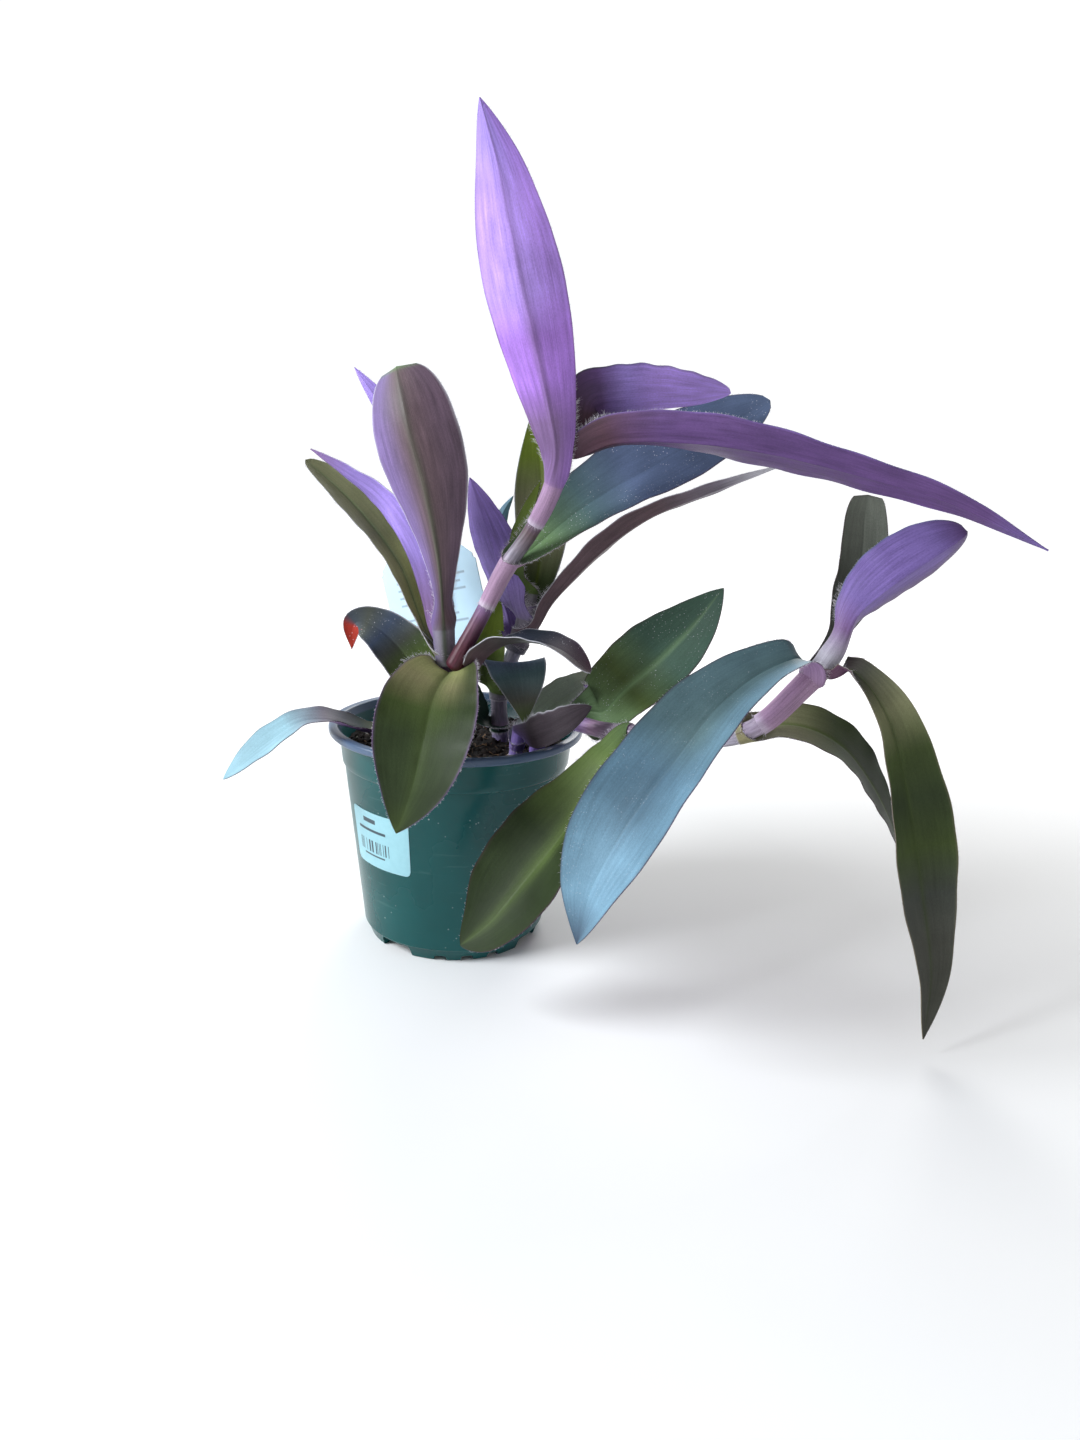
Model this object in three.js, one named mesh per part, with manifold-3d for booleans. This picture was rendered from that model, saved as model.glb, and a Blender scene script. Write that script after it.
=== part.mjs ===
// A young tradescantia with several shoots in a nursery pot, with a plant tag and a price sticker.
// Millimetres. The origin is the middle of the pot's foot, +X is the way the plant leans,
// +Y is away from the viewer and +Z is up.
import * as THREE from "three";
import Module from "manifold-3d";

const wasm = await Module();
wasm.setup();

// Driving dimensions of the pot, a 110 mm trade size
const RIM_RADIUS = 55;
const POT_HEIGHT = 95.6;
const LIP_HEIGHT = 3.4;
const LIP_ROUND = 0.8;
const MOUTH_RADIUS = 51;
const COLLAR_TOP_RADIUS = 50.4;
const COLLAR_FOOT_RADIUS = 49.2;
const COLLAR_FOOT_HEIGHT = 79.4;
const WALL_TOP_RADIUS = 48.4;
const WALL_FOOT_RADIUS = 40.2;
const FOOT_HEIGHT = 6;
const FOOT_TOP_RADIUS = 39.4;
const FOOT_RADIUS = 37.7;
const POT_WALL = 1;
const FLOOR_TOP = 2.5;
const PAD_RADIUS = 22;
const FOOT_RING_RADIUS = 33;
const CHANNEL_RISE = 1.5;
const POT_SEGMENTS = 32;

// Drain cut-outs round the foot, the same on opposite sides
const DRAIN_WIDTH = 16;
const DRAIN_HEIGHT = 4.8;
const DRAIN_ANGLES = [-126, -27];
const NOTCH_WIDTH = 5;
const NOTCH_HEIGHT = 2.4;
const NOTCH_ANGLES = [-94, -76.5, -59];

// Soil
const SOIL_LEVEL = 85;
const SOIL_BUMP = 1.3;
const SOIL_RINGS = 4;
const SOIL_SEGMENTS = 24;
const SOIL_GAP = 0.3;

// Price sticker, wrapped round the left of the wall
const STICKER_WIDTH = 34;
const STICKER_BOTTOM = 39.5;
const STICKER_TOP = 64.5;
const STICKER_ANGLE = -131;
const STICKER_THICKNESS = 0.6;
const STICKER_CORNER = 2.5;
const STICKER_STEPS = 10;

// Plant tag
const TAG_WIDTH = 48;
const TAG_HEIGHT = 62;
const TAG_CORNER = 7;
const TAG_THICKNESS = 0.8;
const STAKE_WIDTH = 11;
const STAKE_LENGTH = 66;
const TAG_TOP = [-18.5, 31, 166];
const TAG_LEAN = -15;
const TAG_TILT = 0;
const TAG_TURN = -20;

// Clearances and thicknesses of the plant
const CLEAR = 0.3;
const SHEATH_WALL = 0.8;
const SHEATH_OVERLAP = 2;
const ELBOW_OUT = 2;
const ELBOW_UP = 0.8;
const RIB_THICKNESS = 1.1;
const EDGE_THICKNESS = 0.7;
const TIP_FRACTION = 0.045;
const ROW_SPACING = 14;
const FEWEST_ROWS = 6;
const STEM_SIDES = 8;
const STEM_RING_SPACING = 6;

const degrees = THREE.MathUtils.degToRad;
const vector = (list) => new THREE.Vector3(...list);

// Solids

// A closed solid from its points and its triangles.
function solidOf(points, triangles) {
  const vertProperties = new Float32Array(points.flatMap((p) => [p.x, p.y, p.z]));
  const triVerts = new Uint32Array(triangles);
  return new wasm.Manifold(new wasm.Mesh({ numProp: 3, vertProperties, triVerts }));
}

// A solid from a three.js geometry, with the points that lie together made one.
function solidOfGeometry(geometry) {
  const position = geometry.getAttribute("position");
  const inOrder = [...Array(position.count).keys()];
  const index = geometry.index ? [...geometry.index.array] : inOrder;
  const points = [];
  const seen = new Map();
  const numbers = [];
  for (let i = 0; i < position.count; i += 1) {
    const point = new THREE.Vector3().fromBufferAttribute(position, i);
    const key = point.toArray().map((value) => Math.round(value * 1e4)).join(" ");
    if (!seen.has(key)) {
      seen.set(key, points.length);
      points.push(point);
    }
    numbers.push(seen.get(key));
  }
  const triangles = [];
  for (let i = 0; i < index.length; i += 3) {
    const [a, b, c] = index.slice(i, i + 3).map((number) => numbers[number]);
    if (a !== b && b !== c && c !== a) {
      triangles.push(a, b, c);
    }
  }
  return solidOf(points, triangles);
}

function geometryOf(solid) {
  const mesh = solid.getMesh();
  const geometry = new THREE.BufferGeometry();
  const position = new Float32Array(mesh.numVert * 3);
  for (let i = 0; i < mesh.numVert; i += 1) {
    for (let k = 0; k < 3; k += 1) {
      position[3 * i + k] = mesh.vertProperties[mesh.numProp * i + k];
    }
  }
  geometry.setAttribute("position", new THREE.BufferAttribute(position, 3));
  geometry.setIndex([...mesh.triVerts]);
  geometry.computeVertexNormals();
  return geometry;
}

const group = new THREE.Group();

function addNode(name, solid, look) {
  const mesh = new THREE.Mesh(geometryOf(solid), new THREE.MeshStandardMaterial(look));
  mesh.name = name;
  group.add(mesh);
}

const LOOKS = {
  pot: { color: 0x1f5a48, roughness: 0.35, metalness: 0 },
  soil: { color: 0x2a221d, roughness: 0.95, metalness: 0 },
  sticker: { color: 0xdde8ec, roughness: 0.5, metalness: 0 },
  tag: { color: 0xc5dcea, roughness: 0.4, metalness: 0 },
  stem: { color: 0x96688c, roughness: 0.5, metalness: 0 },
  violet: { color: 0x7b5a9e, roughness: 0.5, metalness: 0 },
  green: { color: 0x44614f, roughness: 0.45, metalness: 0 },
  olive: { color: 0x55602f, roughness: 0.5, metalness: 0 },
};

// Round the pot's axis

const onCircle = (radius, angle, z) =>
  new THREE.Vector3(radius * Math.cos(angle), radius * Math.sin(angle), z);

// The wall's outer radius at a height between the foot and the collar.
function wallRadius(z) {
  const share = (z - FOOT_HEIGHT) / (COLLAR_FOOT_HEIGHT - FOOT_HEIGHT);
  return WALL_FOOT_RADIUS + share * (WALL_TOP_RADIUS - WALL_FOOT_RADIUS);
}

function lathe(outline, segments) {
  const points = outline.map(([radius, z]) => new THREE.Vector2(radius, z));
  const geometry = new THREE.LatheGeometry(points, segments);
  geometry.rotateX(Math.PI / 2);
  return solidOfGeometry(geometry);
}

function boxAt(width, depth, height, centre, turn) {
  const geometry = new THREE.BoxGeometry(width, depth, height);
  geometry.translate(...centre);
  geometry.rotateZ(turn);
  return solidOfGeometry(geometry);
}

function makePot() {
  const lipFoot = POT_HEIGHT - LIP_HEIGHT;
  const outside = [
    [0, 0],
    [PAD_RADIUS, 0],
    [PAD_RADIUS + CHANNEL_RISE, CHANNEL_RISE],
    [FOOT_RING_RADIUS - CHANNEL_RISE, CHANNEL_RISE],
    [FOOT_RING_RADIUS, 0],
    [FOOT_RADIUS, 0],
    [FOOT_TOP_RADIUS, FOOT_HEIGHT - 0.7],
    [WALL_FOOT_RADIUS, FOOT_HEIGHT],
    [WALL_TOP_RADIUS, COLLAR_FOOT_HEIGHT],
    [COLLAR_FOOT_RADIUS, COLLAR_FOOT_HEIGHT + 0.6],
    [COLLAR_TOP_RADIUS, lipFoot],
    [RIM_RADIUS - LIP_ROUND, lipFoot],
    [RIM_RADIUS, lipFoot + LIP_ROUND],
    [RIM_RADIUS, POT_HEIGHT - LIP_ROUND],
    [RIM_RADIUS - LIP_ROUND, POT_HEIGHT],
    [MOUTH_RADIUS + LIP_ROUND, POT_HEIGHT],
    [MOUTH_RADIUS, POT_HEIGHT - LIP_ROUND],
  ];
  const inside = [
    [COLLAR_TOP_RADIUS - POT_WALL, lipFoot],
    [COLLAR_FOOT_RADIUS - POT_WALL, COLLAR_FOOT_HEIGHT + 0.6],
    [WALL_TOP_RADIUS - POT_WALL, COLLAR_FOOT_HEIGHT],
    [WALL_FOOT_RADIUS - POT_WALL, FOOT_HEIGHT],
    [FOOT_RADIUS - POT_WALL, FLOOR_TOP],
    [0, FLOOR_TOP],
  ];
  let pot = lathe([...outside, ...inside], POT_SEGMENTS);
  const cut = (angle, width, height) => {
    const depth = RIM_RADIUS - FOOT_RING_RADIUS;
    const middle = [FOOT_RING_RADIUS - 0.5 + depth / 2, 0, 0];
    pot = pot.subtract(boxAt(depth, width, 2 * height, middle, degrees(angle)));
  };
  for (const side of [0, 180]) {
    DRAIN_ANGLES.forEach((angle) => cut(angle + side, DRAIN_WIDTH, DRAIN_HEIGHT));
    NOTCH_ANGLES.forEach((angle) => cut(angle + side, NOTCH_WIDTH, NOTCH_HEIGHT));
  }
  return pot;
}

// Height of the soil's top at a place.
function soilHeight(x, y) {
  const long = Math.sin(0.13 * x + 0.6) * Math.cos(0.11 * y - 0.4);
  const short = Math.sin(0.31 * x - 0.27 * y + 1.1);
  return SOIL_LEVEL + SOIL_BUMP * (long + 0.5 * short);
}

function makeSoil() {
  const step = (2 * Math.PI) / SOIL_SEGMENTS;
  const topRadius = COLLAR_FOOT_RADIUS - POT_WALL - SOIL_GAP;
  const footRadius = FOOT_RADIUS - POT_WALL - SOIL_GAP;
  const footHeight = FLOOR_TOP + SOIL_GAP;
  const points = [new THREE.Vector3(0, 0, soilHeight(0, 0))];
  for (let ring = 1; ring <= SOIL_RINGS; ring += 1) {
    for (let k = 0; k < SOIL_SEGMENTS; k += 1) {
      const point = onCircle((topRadius * ring) / SOIL_RINGS, k * step, 0);
      point.z = soilHeight(point.x, point.y);
      points.push(point);
    }
  }
  const wallFoot = WALL_FOOT_RADIUS - POT_WALL - SOIL_GAP;
  const below = [
    [topRadius - 1, COLLAR_FOOT_HEIGHT - 1],
    [wallFoot, FOOT_HEIGHT],
    [footRadius, footHeight],
  ];
  for (const [radius, z] of below) {
    for (let k = 0; k < SOIL_SEGMENTS; k += 1) {
      points.push(onCircle(radius, k * step, z));
    }
  }
  const bottom = points.length;
  points.push(new THREE.Vector3(0, 0, footHeight));
  const rings = SOIL_RINGS + 3;
  const number = (ring, k) => 1 + (ring - 1) * SOIL_SEGMENTS + (k % SOIL_SEGMENTS);
  const triangles = [];
  for (let k = 0; k < SOIL_SEGMENTS; k += 1) {
    triangles.push(0, number(1, k), number(1, k + 1));
    for (let ring = 1; ring < rings; ring += 1) {
      const [a, b] = [number(ring, k), number(ring, k + 1)];
      const [c, d] = [number(ring + 1, k), number(ring + 1, k + 1)];
      triangles.push(a, c, d, a, d, b);
    }
    triangles.push(bottom, number(rings, k + 1), number(rings, k));
  }
  return solidOf(points, triangles);
}

function makeSticker() {
  const middle = (STICKER_BOTTOM + STICKER_TOP) / 2;
  const half = STICKER_WIDTH / 2 / wallRadius(middle);
  const rows = [];
  for (let i = 0; i <= STICKER_STEPS; i += 1) {
    const share = (2 * i) / STICKER_STEPS - 1;
    const fromEdge = (1 - Math.abs(share)) * (STICKER_WIDTH / 2);
    const missing = Math.max(0, STICKER_CORNER - fromEdge);
    const trim = STICKER_CORNER - Math.sqrt(STICKER_CORNER ** 2 - missing ** 2);
    const angle = degrees(STICKER_ANGLE) + share * half;
    rows.push([STICKER_BOTTOM + trim, STICKER_TOP - trim].map((z) => [angle, z]));
  }
  const points = [];
  for (const row of rows) {
    for (const [angle, z] of row) {
      const inner = wallRadius(z) + CLEAR;
      points.push(onCircle(inner, angle, z), onCircle(inner + STICKER_THICKNESS, angle, z));
    }
  }
  const triangles = [];
  const quad = (a, b, c, d) => triangles.push(a, b, c, a, c, d);
  quad(0, 1, 3, 2);
  for (let i = 0; i < STICKER_STEPS; i += 1) {
    const [a, b] = [4 * i, 4 * i + 4];
    quad(a + 1, b + 1, b + 3, a + 3);
    quad(a, a + 2, b + 2, b);
    quad(a, b, b + 1, a + 1);
    quad(a + 2, a + 3, b + 3, b + 2);
  }
  const last = 4 * STICKER_STEPS;
  quad(last, last + 2, last + 3, last + 1);
  return solidOf(points, triangles);
}

// The tag hangs down from the middle of its top edge, before it is leaned and tilted.
function tagSolid(grow) {
  const side = TAG_WIDTH / 2 + grow;
  const stake = STAKE_WIDTH / 2 + grow;
  const foot = -TAG_HEIGHT - STAKE_LENGTH - grow;
  const outline = [
    [-side + TAG_CORNER, grow],
    [-side, -TAG_CORNER],
    [-side, -TAG_HEIGHT + TAG_CORNER],
    [-stake, -TAG_HEIGHT - grow],
    [-stake, foot + STAKE_WIDTH],
    [0, foot],
    [stake, foot + STAKE_WIDTH],
    [stake, -TAG_HEIGHT - grow],
    [side, -TAG_HEIGHT + TAG_CORNER],
    [side, -TAG_CORNER],
    [side - TAG_CORNER, grow],
  ];
  const shape = new THREE.Shape(outline.map(([x, y]) => new THREE.Vector2(x, y)));
  const depth = TAG_THICKNESS + 2 * grow;
  const geometry = new THREE.ExtrudeGeometry(shape, { depth, bevelEnabled: false });
  geometry.translate(0, 0, -depth / 2);
  geometry.rotateX(Math.PI / 2);
  geometry.rotateX(degrees(TAG_TILT));
  geometry.rotateY(degrees(TAG_LEAN));
  geometry.rotateZ(degrees(TAG_TURN));
  geometry.translate(...TAG_TOP);
  return solidOfGeometry(geometry);
}

// Stems

// Points along a stem's middle, and its radius at the foot and at the top.
const STEMS = {
  left: {
    points: [[-9, -9, 48], [-8, -11, 84], [-6, -15, 106], [-3, -20, 124], [-4, -20, 134], [-5, -19, 150]],
    radius: [4, 3],
    branch: {
      points: [[-1.5, -22, 124], [1.5, -26.3, 128.5], [12, -28, 149], [21, -31, 168], [30, -34, 182],
        [37, -38, 197], [41, -41, 212], [42, -43, 222]],
      radius: [3.9, 3],
      roundFoot: true,
    },
  },
  middle: {
    points: [[19, 9, 48], [19, 8, 84], [18, 6, 108], [23, 5, 124], [28, 4, 138], [30, 6, 153]],
    radius: [4.4, 2.8],
  },
  right: {
    points: [[30, -6, 48], [34, -9, 82], [39, -14, 97], [47, -21, 103], [61, -34, 104], [74, -45, 106],
      [90, -54, 108], [109, -61, 111], [120, -64, 118], [131, -64, 130], [140, -62, 140], [144, -61, 146]],
    radius: [3.1, 3.6],
  },
  short: {
    points: [[25, -15, 48], [26, -18, 84], [28, -22, 99]],
    radius: [2.8, 2.4],
  },
};

const curveOf = (points) => new THREE.CatmullRomCurve3(points.map(vector));
const stemRadius = (stem, u) => stem.radius[0] + u * (stem.radius[1] - stem.radius[0]);

for (const stem of Object.values(STEMS)) {
  stem.curve = curveOf(stem.points);
  if (stem.branch) {
    stem.branch.curve = curveOf(stem.branch.points);
  }
}
STEMS.branch = STEMS.left.branch;

// A round solid along a stretch of a stem, grown outwards by a distance, and past its ends by another.
function stretch(stem, from, to, grow, overEnds = 0) {
  const length = stem.curve.getLength() * (to - from);
  const rings = Math.max(1, Math.round(length / STEM_RING_SPACING));
  const points = [];
  const triangles = [];
  const back = new THREE.Vector3(0, 1, 0);
  for (let i = 0; i <= rings; i += 1) {
    const u = from + ((to - from) * i) / rings;
    const along = stem.curve.getTangentAt(u);
    const across = back.clone().cross(along).normalize();
    const outward = along.clone().cross(across);
    const foot = stem.roundFoot && from === 0 && i === 0 ? 0.6 : 1;
    const radius = foot * stemRadius(stem, u) + grow;
    const beyond = overEnds * (i === rings ? 1 : 0) - overEnds * (i === 0 ? 1 : 0);
    for (let k = 0; k < STEM_SIDES; k += 1) {
      const angle = (2 * Math.PI * k) / STEM_SIDES;
      const point = stem.curve.getPointAt(u).addScaledVector(along, beyond);
      point.addScaledVector(across, radius * Math.cos(angle));
      point.addScaledVector(outward, radius * Math.sin(angle));
      points.push(point);
    }
  }
  const number = (i, k) => i * STEM_SIDES + (k % STEM_SIDES);
  for (let i = 0; i < rings; i += 1) {
    for (let k = 0; k < STEM_SIDES; k += 1) {
      triangles.push(number(i, k), number(i, k + 1), number(i + 1, k + 1));
      triangles.push(number(i, k), number(i + 1, k + 1), number(i + 1, k));
    }
  }
  for (let k = 1; k < STEM_SIDES - 1; k += 1) {
    triangles.push(number(0, 0), number(0, k + 1), number(0, k));
    triangles.push(number(rings, 0), number(rings, k), number(rings, k + 1));
  }
  return solidOf(points, triangles);
}

function stemSolid(stem, grow) {
  const whole = stretch(stem, 0, 1, grow, grow);
  return stem.branch ? whole.add(stretch(stem.branch, 0, 1, grow, grow)) : whole;
}

// Leaves

// What most leaves share. at is the share of the stem's length where the blade leaves it, and sheath is
// the length of the tube that clasps the stem below that place. side is the way from the middle of the
// leaf to its right edge. fold and curl bend the two halves towards the upper side. taper is over 1 for
// a leaf that stays narrow near its base, and blunt is under 1 for a rounder tip. Lists run from the base
// to the tip. clears names the leaves that a leaf makes room for where their bases nest.
const USUAL = {
  across: 4,
  sheath: 3,
  base: 0.3,
  taper: 1,
  widest: 0.45,
  blunt: 0.85,
  fold: [20, 12, 8],
  curl: [50, 25, 10],
  wave: 0.5,
  waves: 2.5,
  clears: [],
};

const LEAVES = [
  {
    name: "leaf_a1", stem: "branch", at: 0.79, sheath: 17, look: "violet", width: 30, base: 0.3, taper: 1.4,
    widest: 0.55,
    rib: [[38.5, -47, 212], [36.5, -49, 224], [32, -54, 242], [26, -61, 264], [20.5, -66, 285], [16, -70, 303],
      [10, -72, 321]],
    side: [[-1, 0.15, -0.2], [-0.95, 0.2, -0.3]], fold: [6, 9, 8],
  },
  {
    name: "leaf_a2", stem: "branch", at: 0.985, look: "violet", width: 34, base: 0.75, widest: 0.4, blunt: 0.6,
    rib: [[50, -38, 230], [62, -36, 234], [76, -34, 235], [90, -32, 235], [103, -29, 236]],
    side: [[0.1, -0.9, 0.4], [0.1, -0.9, 0.4]], fold: [45, 45, 35], curl: [50, 25, 10],
    clears: ["leaf_a1", "leaf_a3"],
  },
  {
    name: "leaf_a3", stem: "branch", at: 0.9, look: "violet", width: 25, base: 0.45, widest: 0.3, blunt: 0.9,
    rib: [[51, -43, 213], [61, -50, 218], [84, -65, 220], [108, -79, 217], [136, -92, 211], [165, -103, 203],
      [194, -110, 190]],
    side: [[-0.4, -0.75, 0.55], [-0.15, -0.8, 0.6], [0.1, -0.8, 0.6]], fold: [20, 4, 2], curl: [40, 8, 5],
    clears: ["leaf_a1"],
  },
  {
    name: "leaf_a4", stem: "branch", at: 0.46, sheath: 20, look: "green", width: 34, base: 0.3, widest: 0.6,
    blunt: 0.55,
    rib: [[31, -27, 176], [48, -22, 191], [66, -20, 203], [86, -18, 214], [104, -16, 224], [121, -14, 234]],
    side: [[0.63, -0.57, -0.54], [0.4, -0.5, -0.75]],
  },
  {
    name: "leaf_b0", stem: "left", at: 0.735, look: "olive", width: 41, base: 0.26, widest: 0.5,
    rib: [[-0.5, -31, 126.5], [-5, -45, 121.5], [-8, -60, 107], [-11, -67, 90], [-17, -69, 70]],
    side: [[-1, 0.1, 0.05], [-1, 0.1, 0.2]], fold: [30, 8, 8, 8, 8], curl: [50, 22, 25, 18, 12],
  },
  {
    name: "leaf_b1", stem: "left", at: 0.9, look: "violet", width: 38, base: 0.2, taper: 2.2, widest: 0.72,
    blunt: 0.3,
    rib: [[-4, -26, 149], [-5, -28, 166], [-7.5, -29, 184], [-11, -29, 200], [-17, -28, 220], [-23, -22, 241]],
    side: [[-1, 0.1, -0.15], [-0.96, 0.2, -0.2], [-0.9, 0.3, -0.3]], curl: [50, 30, 10],
  },
  {
    name: "leaf_b2", stem: "left", at: 0.794, look: "olive", width: 25, base: 0.2, widest: 0.5, blunt: 0.5,
    across: 2,
    rib: [[-14, -11, 144], [-22, -5, 163], [-33, 0, 177], [-44, 3, 188], [-55, 5, 197], [-65, 6, 204]],
    side: [[0.55, 0.8, 0.2], [0.5, 0.8, 0.35]], fold: [20, 15, 10], clears: ["leaf_b3", "leaf_b5"],
  },
  {
    name: "leaf_b3", stem: "left", at: 0.847, look: "violet", width: 20, base: 0.24, widest: 0.45, across: 2,
    rib: [[-11, -17, 150], [-16, -16, 167], [-23, -14, 180], [-32, -12, 191], [-45, -9, 200], [-60, -6, 209]],
    side: [[-0.55, 0.75, -0.35], [-0.35, 0.8, -0.5]], clears: ["leaf_b1"],
  },
  {
    name: "leaf_b4", stem: "left", at: 0.957, look: "violet", width: 18, base: 0.3, widest: 0.5, across: 2,
    rib: [[-7, -10, 160], [-10, -7, 178], [-17, -5, 199], [-27, -3, 220], [-43, 0, 241]],
    side: [[-0.9, 0.3, -0.3], [-0.8, 0.4, -0.5]], clears: ["leaf_b1", "leaf_b3"],
  },
  {
    name: "leaf_b5", stem: "left", at: 0.578, look: "green", width: 26, base: 0.35, widest: 0.3,
    blunt: 0.95,
    rib: [[-13, -17, 117], [-18.5, -18, 126.5], [-24, -18, 133], [-31, -16.5, 138.5], [-38, -14.5, 140.8],
      [-41.5, -13.8, 140.2], [-42.6, -13.8, 138], [-43, -14, 129]],
    side: [[0.3, 0.5, 0.8], [0.3, 0.5, 0.8], [0.4, 0.45, 0.8], [0.5, 0.4, 0.75], [0.5, 0.4, 0.75],
      [-0.6, 0.2, 0.6], [-1, 0.1, 0]],
    clears: ["leaf_b0"],
  },
  {
    name: "leaf_b6", stem: "left", at: 0.638, look: "green", width: 24, base: 0.22, widest: 0.7, blunt: 0.6,
    rib: [[7.5, -23, 124], [13, -28, 133], [21, -32, 139], [33, -36, 141], [44, -41, 138.5], [55, -46, 130]],
    side: [[-0.6, -0.8, 0], [-0.35, -0.9, 0.1], [-0.4, -0.87, -0.1]], fold: [20, 10, 8], curl: [40, 15, 10],
    clears: ["leaf_b0", "leaf_b5"],
  },
  {
    name: "leaf_g1", stem: "left", at: 0.415, look: "green", width: 21, base: 0.3, widest: 0.7, blunt: 0.75,
    rib: [[-20, -16, 92], [-33, -19, 96], [-43, -23, 100], [-52, -27, 103], [-62, -30, 102], [-77, -36, 92],
      [-91, -40, 79]],
    side: [[-0.3, 0.95, 0], [-0.4, 0.9, 0.05], [-0.45, 0.85, 0.27]], fold: [20, 8, 5], curl: [40, 10, 8],
  },
  {
    name: "leaf_c1", stem: "middle", at: 0.882, look: "violet", width: 20, base: 0.25, widest: 0.5, across: 2,
    rib: [[21, 2, 153], [15, 4, 170], [9, 7, 184], [3, 11, 199]],
    side: [[-0.87, 0.25, -0.45], [-0.9, 0.15, -0.4]], clears: ["leaf_c2"],
  },
  {
    name: "leaf_c2", stem: "middle", at: 0.83, look: "violet", width: 15, base: 0.35, widest: 0.4, across: 2,
    rib: [[37, 2, 147], [46, 2, 159], [60, 1, 174], [77, -1, 187], [99, -4, 197], [131, -8, 210]],
    side: [[-0.5, -0.8, 0.4], [-0.3, -0.8, 0.5]],
  },
  {
    name: "leaf_c3", stem: "middle", at: 0.934, look: "olive", width: 26, base: 0.25, widest: 0.55, across: 2,
    rib: [[33, 16, 160], [34, 21, 176], [33, 26, 196], [31, 29, 212], [28, 31, 226]],
    side: [[1, 0, -0.1], [1, 0, 0.15]], clears: ["leaf_c1", "leaf_c2"],
  },
  {
    name: "leaf_c4", stem: "middle", at: 0.778, look: "violet", width: 11, base: 0.35, widest: 0.5, across: 2,
    rib: [[20, 14, 142], [17, 17, 150], [15, 21, 165], [15, 24, 177], [17, 26, 184], [21, 28, 191]],
    side: [[-0.9, 0.3, 0.2], [-0.7, 0.3, 0.6]], clears: ["leaf_c1", "leaf_c2"],
  },
  {
    name: "leaf_c5", stem: "middle", at: 0.56, look: "olive", width: 19, base: 0.3, widest: 0.5, across: 2,
    rib: [[12, 2, 113], [11, 3, 124], [12, 6, 136], [17, 10, 149]],
    side: [[0.93, 0.25, 0.2], [0.95, 0.1, -0.3]], clears: ["leaf_t1", "leaf_d1"],
  },
  {
    name: "leaf_c6", stem: "middle", at: 0.986, look: "olive", width: 9, base: 0.5, widest: 0.4, across: 2,
    rib: [[24, 0, 160], [24, -2, 168], [26, -4, 180], [29, -5, 190], [33, -6, 200]],
    side: [[0.95, -0.2, -0.2], [0.9, -0.3, -0.3]], clears: ["leaf_c1", "leaf_c3"],
  },
  {
    name: "leaf_t1", stem: "middle", at: 0.63, look: "green", width: 26, base: 0.25, taper: 0.8, widest: 0.42,
    blunt: 1.15, across: 2,
    rib: [[22, -6, 123], [25, -15, 126], [27.5, -21, 121], [29, -24, 112], [30, -26, 102]],
    side: [[-1, -0.2, 0], [-1, 0, -0.07]], fold: [4, 2, 4], curl: [8, 5, 5],
  },
  {
    name: "leaf_d1", stem: "middle", at: 0.42, look: "green", width: 12, base: 0.35, widest: 0.5, across: 2,
    rib: [[11, 3, 94], [8, 1, 101], [6, -2, 110], [6, -4, 119]],
    side: [[0.65, 0.5, 0.6], [0.9, 0.4, 0.1]],
  },
  {
    name: "leaf_e1", stem: "right", at: 0.34, look: "green", width: 36, base: 0.2, widest: 0.5,
    rib: [[60, -29, 110], [68, -28, 119], [82, -26, 132], [96, -23, 146], [108, -20, 161]],
    side: [[0.65, -0.65, -0.4], [0.7, -0.5, -0.5]],
  },
  {
    name: "leaf_e2", stem: "right", at: 0.885, look: "green", width: 41, base: 0.25, taper: 1.2, widest: 0.66,
    rib: [[129, -70, 145], [116, -76, 142], [98, -86, 131], [81, -95, 111], [66, -102, 90], [56, -107, 69],
      [52, -109, 47]],
    side: [[-0.6, 0.75, 0.3], [-0.65, 0.73, 0.2], [-0.74, 0.67, 0.07]], curl: [20, 25, 12],
    clears: ["leaf_e7"],
  },
  {
    name: "leaf_e3", stem: "right", at: 0.515, look: "olive", width: 44, base: 0.22, taper: 1.5, widest: 0.6,
    blunt: 0.7,
    rib: [[64, -54, 101], [54, -61, 86], [42, -70, 71], [30, -76, 55], [19, -80, 40], [9, -79, 29]],
    side: [[-0.6, 0.8, 0.1], [-0.6, 0.75, 0.2], [-0.5, 0.7, 0.5]],
  },
  {
    name: "leaf_e4", stem: "right", at: 0.76, look: "olive", width: 28, base: 0.3, widest: 0.5,
    rib: [[128, -57, 116], [141, -55, 114], [155, -52, 106], [168, -49, 91], [178, -47, 74], [186, -45, 56]],
    side: [[0.1, -0.85, -0.5], [-0.2, -0.85, -0.4], [-0.4, -0.85, -0.2]], fold: [6, 6, 5], curl: [15, 10, 6],
  },
  {
    name: "leaf_e5", stem: "right", at: 0.947, look: "olive", width: 31, base: 0.25, taper: 1.3, widest: 0.5,
    rib: [[149, -65, 141.5], [157, -67, 135], [166, -70, 122], [172.5, -72, 105], [178, -75, 85],
      [183, -80, 58], [187, -87, 28], [183, -97, 7]],
    side: [[-0.7, -0.65, -0.2], [-0.9, -0.4, -0.1], [-0.9, -0.3, 0.3]], clears: ["leaf_e6", "leaf_e7"],
  },
  {
    name: "leaf_e6", stem: "right", at: 0.98, look: "violet", width: 34, base: 0.22, taper: 2, widest: 0.6,
    blunt: 0.45,
    rib: [[147, -58, 154], [152, -57, 162], [165, -55, 174], [178, -54, 183], [189, -54, 190]],
    side: [[-0.75, -0.3, 0.45], [-0.6, -0.15, 0.75], [-0.6, -0.2, 0.75]], fold: [25, 30, 25], curl: [40, 35, 35],
  },
  {
    name: "leaf_e7", stem: "right", at: 0.916, look: "green", width: 20, base: 0.2, taper: 2.2, widest: 0.6,
    blunt: 0.25, across: 2,
    rib: [[147, -50, 150], [152.5, -41, 162], [155.5, -37, 170], [158.5, -31, 181], [159.5, -27, 191],
      [160, -25, 200]],
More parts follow.
